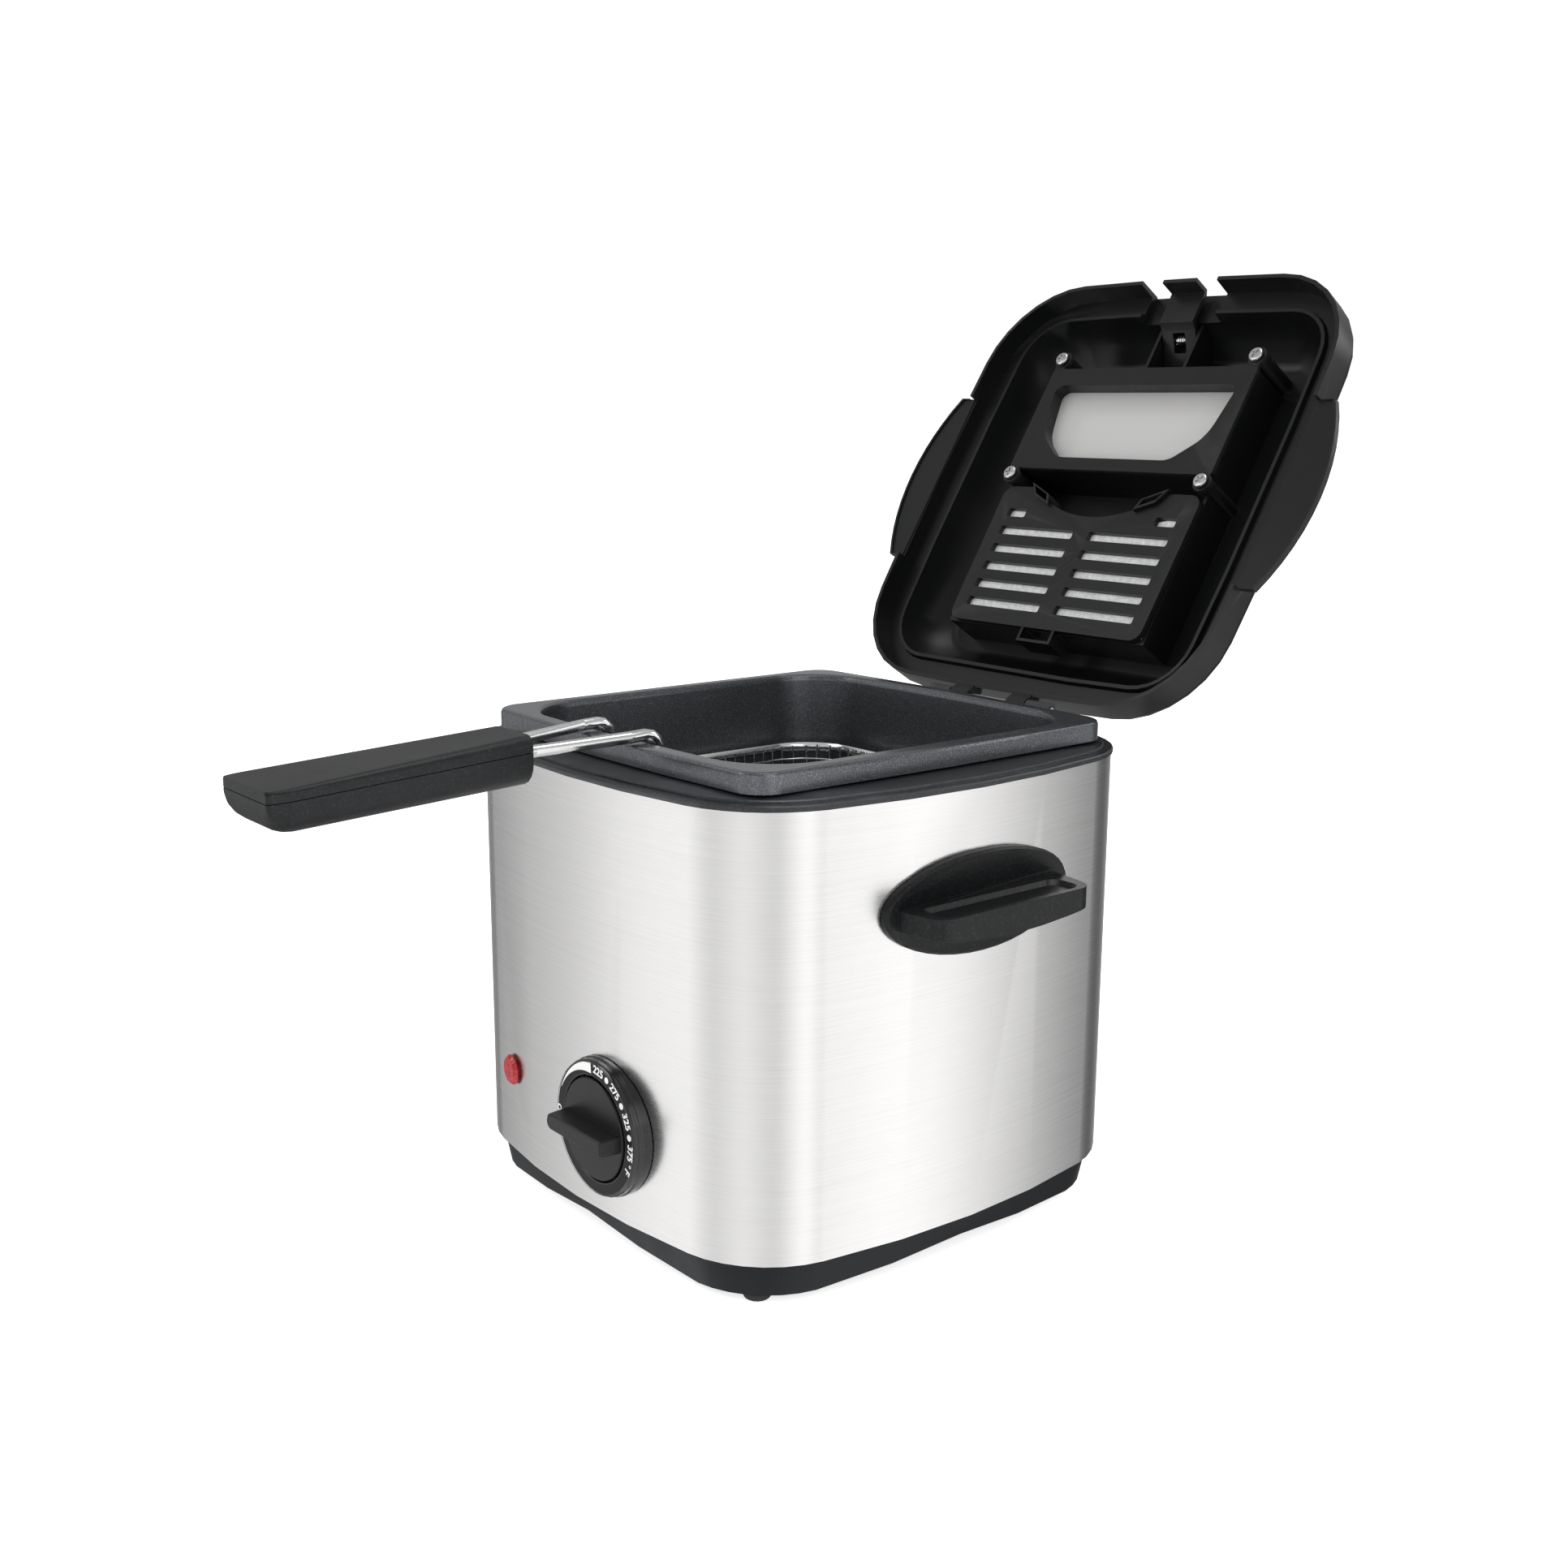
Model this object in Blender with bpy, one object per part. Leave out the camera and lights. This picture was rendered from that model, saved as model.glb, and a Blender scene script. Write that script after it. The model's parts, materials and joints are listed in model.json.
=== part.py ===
"""Compact square deep fryer: brushed steel body, hinged lid with window and filter, wire basket.

Frame: metres, +Z up, floor at z = 0, the dial on the -Y side, the lid hinge on the +Y side.
The lid is modelled closed and then turned open about the hinge axis by its parent empty.
"""

import math

import bmesh
import bpy
import numpy as np
from mathutils import Matrix, Vector

# Clearances
GAP = 0.0003
RUN = 0.0004

# Body outline: half sizes, corner radius, and how far each bowed side turns from its middle to its corner
BODY = dict(half_x=0.1125, half_y=0.1140, corner=0.0460, bow_x=11.0, bow_y=10.3)
SIDE_STEPS = 2
CORNER_STEPS = 7

# Heights, stacked from the floor
FOOT_DROP = 0.0033
BASE_DEPTH = 0.0145
SLEEVE_HEIGHT = 0.1747
POT_RISE = 0.01315
Z_SLEEVE = FOOT_DROP + BASE_DEPTH
Z_TOP = Z_SLEEVE + SLEEVE_HEIGHT
Z_RIM = Z_TOP + POT_RISE

# Sleeve and base
SLEEVE_WALL = 0.0008
BASE_INSET = 0.0030
BASE_TAPER = 0.0027
BASE_WALL = 0.0020
BASE_ARCH_FRONT = 0.0064
BASE_ARCH_SIDE = 0.0042
BASE_ARCH_HALF = 0.0620
BASE_FLOOR = 0.0020
BASE_UPSTAND = 0.0085
FOOT_RADIUS = 0.0055
BOLT_RADIUS = 0.0020
HEAD_RADIUS = 0.0036

# Collar
LIP_OVERHANG = 0.0008
LIP_HEIGHT = 0.0021
STEP_INSET = 0.0030
STEP_HEIGHT = 0.0012
COLLAR_SKIRT = 0.0090

# Pot
POT_RIM = dict(half_x=BODY["half_x"] - 0.0178, half_y=BODY["half_y"] - 0.0168, corner=0.0125, bow_x=2.5,
               bow_y=4.0)
POT_SKIRT = 0.0083
POT_WALL = 0.0015
POT_FLANGE = 0.0092
MOUTH_CORNER = 0.0280
POT_DEPTH = SLEEVE_HEIGHT + POT_RISE - 0.07185
POT_DRAFT = 0.0070 / 0.1160 * POT_DEPTH
POT_FILLET = 0.0120

# Hinge and lid
HINGE_Y = BODY["half_y"] + 0.0040
HINGE_Z = Z_RIM - 0.00635
LID_OPEN_DEG = 122.4
PIN_RADIUS = 0.0015
KNUCKLE_RADIUS = 0.0034
LID = dict(half_x=BODY["half_x"] - 0.0057, half_y=BODY["half_y"] - 0.0009, corner=0.0470, bow_x=2.5,
           bow_y=2.0)
LID_SHIFT = 0.0003
LID_RIM_Z = Z_RIM - 0.00705
LID_FLANGE = 0.0107
LID_CEILING = 0.0332
LID_WALL = 0.0025
LID_SKIRT_WALL = 0.0020
WING_END = LID["half_x"] + 0.0070
WING_REACH = LID["half_x"] + 0.0185
WING_HALF = 0.0470
WING_RISE = 0.0037
WING_THICK = 0.0022
SLOT_INNER = 0.0105
SLOT_OUTER = 0.0227
SLOT_HEIGHT = 0.0145

# Window and filter, measured in the closed lid
HOUSING_HALF_X = LID["half_x"] - 0.0453
HOUSING_FRONT = -(LID["half_y"] - 0.0466)
HOUSING_REAR = LID["half_y"] - 0.0376
FRAME_REAR = -0.0095
FILTER_FRONT = 0.0030
HOUSING_WALL = 0.0020
FRAME_DROP = 0.0072
FRAME_THICK = 0.0020
COVER_THICK = 0.0027
BOSS_RADIUS = 0.0042
SCREW_RADIUS = 0.0015
SCREW_HEAD = 0.0036
SCREW_X = HOUSING_HALF_X - 0.0023
SCREW_FRONT = HOUSING_FRONT - 0.0057
SCREW_REAR = FRAME_REAR + 0.0040
LATCH_Y = -(LID["half_y"] - 0.0226)
GLASS_THICK = 0.0030
FILTER_THICK = 0.0075
COVER_SLOTS = 5
COVER_PITCH = 0.0100

# Front controls
DIAL_X = 0.0220
DIAL_Z = Z_SLEEVE + 0.0378
DIAL_RADIUS = 0.0283
DIAL_DEPTH = 0.0055
KNOB_RADIUS = 0.0207
KNOB_PROUD = 0.0009
SHAFT_RADIUS = 0.0030
BAR_LENGTH = 0.0395
BAR_WIDTH = 0.0076
BAR_DEPTH = 0.0093
LAMP_X = -0.0540
LAMP_Z = DIAL_Z - 0.0006
LAMP_RADIUS = 0.0066
LAMP_STEM = 0.0047

# Side grips
GRIP_HALF = 0.0490
GRIP_RISE = 0.0200
GRIP_Z = Z_TOP - 0.0437
GRIP_PLATE = 0.0033
SHELF_REACH = 0.0210
SHELF_HALF = 0.0450
SHELF_TOP = 0.0029
SHELF_DEEP = 0.0112
SHELF_SHALLOW = 0.0076
GRIP_SCREW_Y = 0.0300

# Basket and its handle
BASKET_X = POT_RIM["half_x"] - 0.0207
BASKET_Y = POT_RIM["half_y"] - 0.0237
BASKET_CORNER = 0.0240
BASKET_TOP = Z_RIM - 0.0323
BASKET_DEPTH = POT_DEPTH - 0.0380
BASKET_TAPER = 0.0045
BASKET_WALL = 0.0015
RIM_WIRE = 0.0022
HANDLE_WIRE = 0.0024
HANDLE_X = 0.0170
HANDLE_DROP_Y = -(BASKET_Y + 0.0053)
GRIP_START = -(BODY["half_y"] + 0.0240)
GRIP_LENGTH = 0.1055
GRIP_TILT_DEG = 2.6
HANDLE_TIP_X = 0.0105
PARTING_RISE = 0.0006

# Inlet at the back
INLET_Z = Z_SLEEVE + 0.0330
INLET_HALF_X = 0.0190
INLET_HALF_Z = 0.0090
INLET_DEPTH = 0.0170
INLET_FLANGE = 0.0035

# Element
ELEMENT_RADIUS = 0.0036
ELEMENT_HALF = 0.0520
PLATE_THICK = 0.0017
PLATE_HALF = 0.0640
STUD_RADIUS = 0.0025
STUD_LOW = Z_RIM - POT_DEPTH - 0.0220

LOOKS = dict(
    steel=((0.62, 0.61, 0.60), 0.28, 1.0),
    bright_steel=((0.72, 0.72, 0.72), 0.12, 1.0),
    aluminium=((0.60, 0.61, 0.62), 0.40, 1.0),
    coated=((0.10, 0.105, 0.115), 0.45, 0.4),
    plastic=((0.016, 0.017, 0.019), 0.50, 0.0),
    textured=((0.035, 0.038, 0.042), 0.60, 0.0),
    gloss=((0.012, 0.012, 0.013), 0.18, 0.0),
    rubber=((0.020, 0.020, 0.020), 0.85, 0.0),
    glass=((0.80, 0.83, 0.84), 0.05, 0.0),
    lamp=((0.75, 0.03, 0.05), 0.15, 0.0),
    filter=((0.45, 0.46, 0.47), 0.95, 0.0),
    copper=((0.55, 0.16, 0.10), 0.50, 0.0),
)


# ---------------------------------------------------------------- helpers


def material(name):
    found = bpy.data.materials.get(name)
    if found:
        return found
    colour, roughness, metallic = LOOKS[name]
    made = bpy.data.materials.new(name)
    made.use_nodes = True
    shader = made.node_tree.nodes["Principled BSDF"]
    shader.inputs["Base Color"].default_value = (*colour, 1.0)
    shader.inputs["Roughness"].default_value = roughness
    shader.inputs["Metallic"].default_value = metallic
    return made


def make(name, bm, look):
    """A named object from a bmesh, normals out, round faces smooth."""
    bmesh.ops.recalc_face_normals(bm, faces=bm.faces)
    mesh = bpy.data.meshes.new(name)
    bm.to_mesh(mesh)
    bm.free()
    mesh.shade_smooth()
    mesh.set_sharp_from_angle(angle=math.radians(32))
    obj = bpy.data.objects.new(name, mesh)
    mesh.materials.append(material(look))
    bpy.context.scene.collection.objects.link(obj)
    return obj


def boolean(target, tool, operation):
    """Adds a Boolean to target, and hides its tool from the model."""
    tool.hide_render = True
    tool.display_type = "WIRE"
    modifier = target.modifiers.new(tool.name, "BOOLEAN")
    modifier.operation = operation
    modifier.solver = "EXACT"
    modifier.object = tool


def cut(target, *tools):
    for tool in tools:
        boolean(target, tool, "DIFFERENCE")


def join(target, *tools):
    for tool in tools:
        boolean(target, tool, "UNION")


def loft(name, rings, look, closed=False):
    """A solid through rings of equal count. Closed joins the last ring to the first, else both ends are capped."""
    bm = bmesh.new()
    loops = [[bm.verts.new(point) for point in ring] for ring in rings]
    follow = loops[1:] + (loops[:1] if closed else [])
    count = len(loops[0])
    for low, high in zip(loops, follow):
        for i in range(count):
            j = (i + 1) % count
            bm.faces.new((low[i], low[j], high[j], high[i]))
    if not closed:
        bm.faces.new(list(reversed(loops[0])))
        bm.faces.new(loops[-1])
    return make(name, bm, look)


def bow_radii(outline):
    """Radii of the two bowed side arcs, which meet the corner arcs smoothly."""
    a, b, r = outline["half_x"], outline["half_y"], outline["corner"]
    p, q = math.radians(outline["bow_x"]), math.radians(outline["bow_y"])
    turns = [[math.sin(p), 1 - math.cos(q)], [1 - math.cos(p), math.sin(q)]]
    sizes = [b + r * math.sin(p) - r * math.cos(q), a + r * math.sin(q) - r * math.cos(p)]
    return np.linalg.solve(turns, sizes)


def corner_centre(outline):
    """Centre of the outline's corner arc in the +X +Y quarter."""
    radius, bow = bow_radii(outline)[0], math.radians(outline["bow_x"])
    reach = radius - outline["corner"]
    return (outline["half_x"] - radius + reach * math.cos(bow), reach * math.sin(bow))


def outline_points(outline):
    """The outline's points, anticlockwise from +X, side arc, corner arc, side arc in each quarter."""
    a, b, r = outline["half_x"], outline["half_y"], outline["corner"]
    p, q = math.radians(outline["bow_x"]), math.radians(outline["bow_y"])
    radius_x, radius_y = bow_radii(outline)
    centre = corner_centre(outline)
    quarter = []
    for t in np.linspace(0, p, SIDE_STEPS + 1)[:-1]:
        quarter.append((a - radius_x + radius_x * math.cos(t), radius_x * math.sin(t)))
    for t in np.linspace(p, math.pi / 2 - q, CORNER_STEPS + 1):
        quarter.append((centre[0] + r * math.cos(t), centre[1] + r * math.sin(t)))
    for t in np.linspace(math.pi / 2 - q, math.pi / 2, SIDE_STEPS + 1)[1:]:
        quarter.append((radius_y * math.cos(t), b - radius_y + radius_y * math.sin(t)))
    left = [(-x, y) for x, y in reversed(quarter[:-1])]
    below = [(-x, -y) for x, y in quarter[1:]]
    right = [(x, -y) for x, y in reversed(quarter[1:-1])]
    return quarter + left + below + right


def inset(outline, distance):
    """The same outline, moved in by a distance all round."""
    moved = dict(outline)
    for key in ("half_x", "half_y", "corner"):
        moved[key] -= distance
    return moved


def resized(outline, distance, corner):
    """The outline with its sides moved in by a distance and a new corner radius."""
    return dict(outline, half_x=outline["half_x"] - distance, half_y=outline["half_y"] - distance,
                corner=corner)


def ring(outline, z, shift_y=0.0):
    """A level ring on an outline. z is a height, or a function of the point."""
    points = outline_points(outline)
    return [(x, y + shift_y, z(x, y) if callable(z) else z) for x, y in points]


def rounded(points, radii, steps=4):
    """A closed path through points with each corner rounded. Works in 2-D or 3-D."""
    corners = [Vector(point) for point in points]
    path = []
    for i, corner in enumerate(corners):
        radius = radii[i] if isinstance(radii, (list, tuple)) else radii
        path += fillet(corners[i - 1], corner, corners[(i + 1) % len(corners)], radius, steps)
    return [tuple(point) for point in path]


def fillet(before, corner, after, radius, steps):
    """The arc that rounds one corner, or the corner itself where the radius is 0."""
    into, out = (before - corner).normalized(), (after - corner).normalized()
    half = into.angle(out) / 2
    if radius <= 0 or math.pi / 2 - half < 0.01:
        return [corner]
    reach = radius / math.tan(half)
    centre = corner + (into + out).normalized() * (radius / math.sin(half))
    start, end = corner + into * reach - centre, corner + out * reach - centre
    sweep = math.pi - 2 * half
    arc = []
    for k in range(steps + 1):
        t = k / steps * sweep
        arc.append(centre + (start * math.sin(sweep - t) + end * math.sin(t)) / math.sin(sweep))
    return arc


def bent(points, radii, steps=4):
    """An open path with its inner corners rounded."""
    corners = [Vector(point) for point in points]
    path = [corners[0]]
    for i in range(1, len(corners) - 1):
        radius = radii[i - 1] if isinstance(radii, (list, tuple)) else radii
        path += fillet(corners[i - 1], corners[i], corners[i + 1], radius, steps)
    return path + [corners[-1]]


def prism(name, points, low, high, look, axis="z"):
    """A flat outline pushed along an axis. On x the points are (y, z), on y they are (x, z)."""
    place = dict(
        x=lambda p, t: (t, p[0], p[1]),
        y=lambda p, t: (p[0], t, p[1]),
        z=lambda p, t: (p[0], p[1], t),
    )[axis]
    return loft(name, [[place(p, low) for p in points], [place(p, high) for p in points]], look)


def block(name, low, high, look="plastic"):
    corners = [(low[0], low[1]), (high[0], low[1]), (high[0], high[1]), (low[0], high[1])]
    return prism(name, corners, low[2], high[2], look)


def circle(radius, count, centre=(0.0, 0.0), start=0.0):
    angles = [start + 2 * math.pi * i / count for i in range(count)]
    return [(centre[0] + radius * math.cos(t), centre[1] + radius * math.sin(t)) for t in angles]


def turned(name, profile, centre, axis, look, count=24, closed=False):
    """A turned solid. The profile holds (radius, distance along the axis from the centre)."""
    turn = Vector(axis).to_track_quat("Z", "Y").to_matrix()
    rings = []
    for radius, along in profile:
        flat = circle(radius, count)
        rings.append([Vector(centre) + turn @ Vector((x, y, along)) for x, y in flat])
    return loft(name, rings, look, closed)


def tube(name, path, radius, look, sides=10, closed=False):
    """A round wire along a path, its section carried without twist."""
    points = [Vector(point) for point in path]
    count = len(points)
    if closed:
        tangents = [(points[(i + 1) % count] - points[i - 1]).normalized() for i in range(count)]
    else:
        tangents = [(points[min(i + 1, count - 1)] - points[max(i - 1,
            0)]).normalized() for i in range(count)]
    normal = tangents[0].orthogonal().normalized()
    rings = []
    for point, tangent in zip(points, tangents):
        normal = (normal - tangent * normal.dot(tangent)).normalized()
        side = tangent.cross(normal)
        angles = [2 * math.pi * k / sides for k in range(sides)]
        rings.append([point + radius * (normal * math.cos(t) + side * math.sin(t)) for t in angles])
    return loft(name, rings, look, closed)


def body_depth(x):
    """Distance from the centre plane to the bowed front or back at this x."""
    radius = bow_radii(BODY)[1]
    return BODY["half_y"] - radius + math.sqrt(radius * radius - x * x)


def body_width(y):
    """Distance from the centre plane to the bowed side at this y."""
    radius = bow_radii(BODY)[0]
    return BODY["half_x"] - radius + math.sqrt(radius * radius - y * y)


def body_envelope(name):
    """The sleeve's outside with the fitting gap added, which cuts the back of whatever sits on it."""
    grown = inset(BODY, -GAP)
    return loft(name, [ring(grown, Z_SLEEVE - 0.01), ring(grown, Z_TOP + 0.01)], "steel")


def parent_to(empty, *objects):
    """Moves the objects' meshes so that their origin is the empty, then parents them to it."""
    shift = Matrix.Translation(-empty.location)
    for obj in objects:
        obj.data.transform(shift)
        obj.parent = empty


def pivot(name, location, turn_x_deg=0.0):
    empty = bpy.data.objects.new(name, None)
    empty.location = location
    empty.rotation_euler = (math.radians(turn_x_deg), 0, 0)
    bpy.context.scene.collection.objects.link(empty)
    return empty


# ---------------------------------------------------------------- body


def base_bottom(x, y):
    """Height of the base's lower edge: down at the corners, arched along each side."""
    on_front = abs(y) / BODY["half_y"] > abs(x) / BODY["half_x"]
    along, arch = (x, BASE_ARCH_FRONT) if on_front else (y, BASE_ARCH_SIDE)
    part = min(1.0, abs(along) / BASE_ARCH_HALF)
    return FOOT_DROP + arch * math.cos(part * math.pi / 2) ** 1.6


def corner_places():
    """Where the four feet and tie bolts stand, just inside the base's skirt."""
    x, y = corner_centre(BODY)
    reach = BODY["corner"] - BASE_INSET - BASE_TAPER - FOOT_RADIUS - 0.0005
    step = reach * math.sqrt(0.5)
    return [(sx * (x + step), sy * (y + step)) for sy in (-1, 1) for sx in (-1, 1)]


def make_sleeve():
    wall = inset(BODY, SLEEVE_WALL)
    rings = [ring(BODY, Z_SLEEVE), ring(BODY, Z_TOP), ring(wall, Z_TOP), ring(wall, Z_SLEEVE)]
    sleeve = loft("outer_sleeve", rings, "steel", closed=True)
    front = body_depth(DIAL_X)
    shaft_hole = turned("cut_shaft", [(0.0050, -0.01), (0.0050, 0.01)], (DIAL_X, -front, DIAL_Z), (0, 1, 0),
                        "steel")
    lamp_hole = turned("cut_lamp", [(LAMP_STEM + GAP, -0.01), (LAMP_STEM + GAP, 0.01)],
                       (LAMP_X, -body_depth(LAMP_X), LAMP_Z), lamp_axis(), "steel")
    y = BODY["half_y"]
    low = (-INLET_HALF_X - GAP, y - 0.01, INLET_Z - INLET_HALF_Z - GAP)
    high = (INLET_HALF_X + GAP, y + 0.01, INLET_Z + INLET_HALF_Z + GAP)
    cut(sleeve, shaft_hole, lamp_hole, block("cut_inlet", low, high))
    for side in (-1, 1):
        for along in (-GRIP_SCREW_Y, GRIP_SCREW_Y):
            centre = (side * body_width(along), along, GRIP_Z)
            hole = [(SCREW_RADIUS + GAP, -0.01), (SCREW_RADIUS + GAP, 0.01)]
            cut(sleeve, turned(f"cut_grip_{side}_{along:.2f}", hole, centre, (1, 0, 0), "steel", 12))


def make_base():
    floor_top = Z_SLEEVE - 0.0025
    floor_low = floor_top - BASE_FLOOR
    lower = BASE_INSET + BASE_TAPER
    upstand = SLEEVE_WALL + 0.0005
    rings = [
        ring(inset(BODY, lower + BASE_WALL + 0.0010), floor_low),
        ring(inset(BODY, lower + BASE_WALL), base_bottom),
        ring(inset(BODY, lower), base_bottom),
        ring(inset(BODY, BASE_INSET + 0.0004), Z_SLEEVE - 0.0030),
        ring(inset(BODY, BASE_INSET), Z_SLEEVE - GAP),
        ring(inset(BODY, upstand), Z_SLEEVE - GAP),
        ring(inset(BODY, upstand), Z_SLEEVE + BASE_UPSTAND),
        ring(inset(BODY, upstand + BASE_WALL), Z_SLEEVE + BASE_UPSTAND),
        ring(inset(BODY, upstand + BASE_WALL), floor_top),
    ]
    base = loft("base_pan", rings, "plastic")
    for i, (x, y) in enumerate(corner_places()):
        boss = [(FOOT_RADIUS - 0.0002, FOOT_DROP), (FOOT_RADIUS - 0.0002, floor_top - 0.0005)]
        join(base, turned(f"base_boss_{i}", boss, (x, y, 0), (0, 0, 1), "plastic", 14))
        bore = [(HEAD_RADIUS + 0.0008, FOOT_DROP - 0.01), (HEAD_RADIUS + 0.0008, floor_low)]
        cut(base, turned(f"cut_head_{i}", bore, (x, y, 0), (0, 0, 1), "plastic", 14))
        hole = [(BOLT_RADIUS + GAP, -0.01), (BOLT_RADIUS + GAP, 0.01)]
        cut(base, turned(f"cut_bolt_{i}", hole, (x, y, floor_top), (0, 0, 1), "plastic", 12))
    for i in range(5):
        y = (i - 2) * 0.014
        cut(base, block(f"cut_vent_{i}", (-0.030, y - 0.002, 0.0), (0.030, y + 0.002, 0.03)))
    return floor_low, floor_top


def make_feet_and_bolts(floor_low):
    """At each corner a rubber foot caps the head of the long bolt that ties collar, sleeve and base together."""
    head_low = floor_low - GAP - 0.0030
    bolt_top = Z_TOP - 0.0080
    for i, (x, y) in enumerate(corner_places(), start=1):
        plug = HEAD_RADIUS + 0.0003
        foot = [(FOOT_RADIUS - 0.0007, 0.0), (FOOT_RADIUS, 0.0007), (FOOT_RADIUS, FOOT_DROP - GAP)]
        foot += [(plug, FOOT_DROP - GAP), (plug, head_low - GAP)]
        turned(f"foot_{i}", foot, (x, y, 0), (0, 0, 1), "rubber", 20)
        bolt = [(HEAD_RADIUS, head_low), (HEAD_RADIUS, floor_low - GAP), (BOLT_RADIUS, floor_low - GAP),
                (BOLT_RADIUS, bolt_top)]
        turned(f"tie_bolt_{i}", bolt, (x, y, 0), (0, 0, 1), "bright_steel", 12)


def hinge_lug(name, low_x, high_x, root, look):
    """A knuckle around the hinge axis with an arm to the (y, z) points of its root."""
    around = circle(KNUCKLE_RADIUS, 16, (HINGE_Y, HINGE_Z))
    hull = convex_hull(around + root)
    return prism(name, hull, low_x, high_x, look, axis="x")


def convex_hull(points):
    """The points' convex hull, anticlockwise."""
    ordered = sorted(points)
    halves = []
    for run in (ordered, ordered[::-1]):
        chain = []
        for p in run:
            while len(chain) > 1 and turn_of(chain[-2], chain[-1], p) <= 1e-12:
                chain.pop()
            chain.append(p)
        halves.append(chain[:-1])
    return halves[0] + halves[1]


def turn_of(a, b, c):
    return (b[0] - a[0]) * (c[1] - a[1]) - (b[1] - a[1]) * (c[0] - a[0])


def pin_cutter(name):
    hole = [(PIN_RADIUS + GAP, -0.05), (PIN_RADIUS + GAP, 0.05)]
    return turned(name, hole, (0, HINGE_Y, HINGE_Z), (1, 0, 0), "plastic", 16)


def make_collar():
    """Black top ring: a lip over the sleeve's edge, a step, and a flat that reaches in to the pot."""
    opening = resized(POT_RIM, POT_FLANGE - 0.0036, MOUTH_CORNER + 0.0030)
    lip = Z_TOP + GAP
    step = lip + LIP_HEIGHT
    under = Z_TOP - 0.0012
    deep = SLEEVE_WALL + 0.0028
    rings = [
        ring(inset(BODY, -LIP_OVERHANG), lip),
        ring(inset(BODY, -LIP_OVERHANG), step - 0.0005),
        ring(inset(BODY, -LIP_OVERHANG + 0.0005), step),
        ring(inset(BODY, STEP_INSET), step),
        ring(inset(BODY, STEP_INSET + 0.0001), step + STEP_HEIGHT - 0.0004),
        ring(inset(BODY, STEP_INSET + 0.0006), step + STEP_HEIGHT),
        ring(opening, Z_RIM - POT_SKIRT - 0.0005),
        ring(opening, under),
        ring(inset(BODY, deep), under),
        ring(inset(BODY, deep), Z_TOP - COLLAR_SKIRT),
        ring(inset(BODY, SLEEVE_WALL + 0.0005), Z_TOP - COLLAR_SKIRT),
        ring(inset(BODY, SLEEVE_WALL + 0.0005), lip),
    ]
    collar = loft("top_collar", rings, "plastic", closed=True)
    for i, (x, y) in enumerate(corner_places()):
        boss = turned(f"boss_{i}", [(0.0045, -0.0140), (0.0045, 0.0010)], (x, y, under), (0, 0, 1), "plastic",
                      16)
        join(collar, boss)
    for i, (x, y) in enumerate(corner_places()):
        hole = [(BOLT_RADIUS + GAP, -0.0200), (BOLT_RADIUS + GAP, -0.0040)]
        cut(collar, turned(f"cut_boss_{i}", hole, (x, y, under), (0, 0, 1), "plastic", 12))
    y = BODY["half_y"]
    root = [(y - 0.0020, lip + 0.0004), (y - 0.0020, step)]
    for side in (-1, 1):
        low_x, high_x = sorted((side * 0.0246, side * 0.0380))
        join(collar, hinge_lug(f"collar_lug_{side}", low_x, high_x, root, "plastic"))
    cut(collar, pin_cutter("cut_collar_pin"))
    turned("hinge_pin", [(PIN_RADIUS, -0.0385), (PIN_RADIUS, 0.0385)], (0, HINGE_Y, HINGE_Z), (1, 0, 0),
           "bright_steel", 14)


def pot_wall(depth, grow=0.0):
    """The pot's inner outline at a depth below the rim, its walls drawn in towards the floor."""
    drawn = POT_FLANGE + POT_DRAFT * depth / POT_DEPTH
    corner = MOUTH_CORNER - POT_DRAFT * depth / POT_DEPTH / 2
    return resized(POT_RIM, drawn - grow, corner + grow)


def make_pot():
    """Coated pot: outer wall up, under the flange, round the rim skirt and down the inner wall to the floor."""
    low = POT_DEPTH - POT_FILLET
    skirt_low = Z_RIM - POT_SKIRT
    inner_skirt = inset(POT_RIM, POT_WALL + 0.0002)
    bend = POT_FILLET * 0.30
    floor = Z_RIM - POT_DEPTH
    rings = [
        ring(pot_wall(POT_DEPTH, POT_WALL - POT_FILLET), floor - POT_WALL),
        ring(pot_wall(POT_DEPTH, POT_WALL - bend), floor - POT_WALL + bend),
        ring(pot_wall(low, POT_WALL), Z_RIM - low),
        ring(pot_wall(0.0040, POT_WALL), Z_RIM - 0.0040),
        ring(pot_wall(0.0020, POT_WALL + 0.0015), Z_RIM - POT_WALL - 0.0005),
        ring(inner_skirt, Z_RIM - POT_WALL - 0.0005),
        ring(inner_skirt, skirt_low),
        ring(POT_RIM, skirt_low),
        ring(POT_RIM, Z_RIM - 0.0017),
        ring(inset(POT_RIM, 0.0005), Z_RIM - 0.0005),
        ring(inset(POT_RIM, 0.0017), Z_RIM),
        ring(pot_wall(0.0, 0.0022), Z_RIM),
        ring(pot_wall(0.0, 0.0006), Z_RIM - 0.0008),
        ring(pot_wall(0.0030), Z_RIM - 0.0030),
        ring(pot_wall(low), Z_RIM - low),
        ring(pot_wall(POT_DEPTH, -bend), floor + bend),
        ring(pot_wall(POT_DEPTH, -POT_FILLET), floor),
    ]
    pot = loft("oil_pot", rings, "coated")
    join(pot,
         turned("pot_stud", [(STUD_RADIUS, STUD_LOW), (STUD_RADIUS, floor - POT_WALL / 2)], (0, 0, 0),
                (0, 0, 1), "coated", 12))


# ---------------------------------------------------------------- heating and wiring


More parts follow.
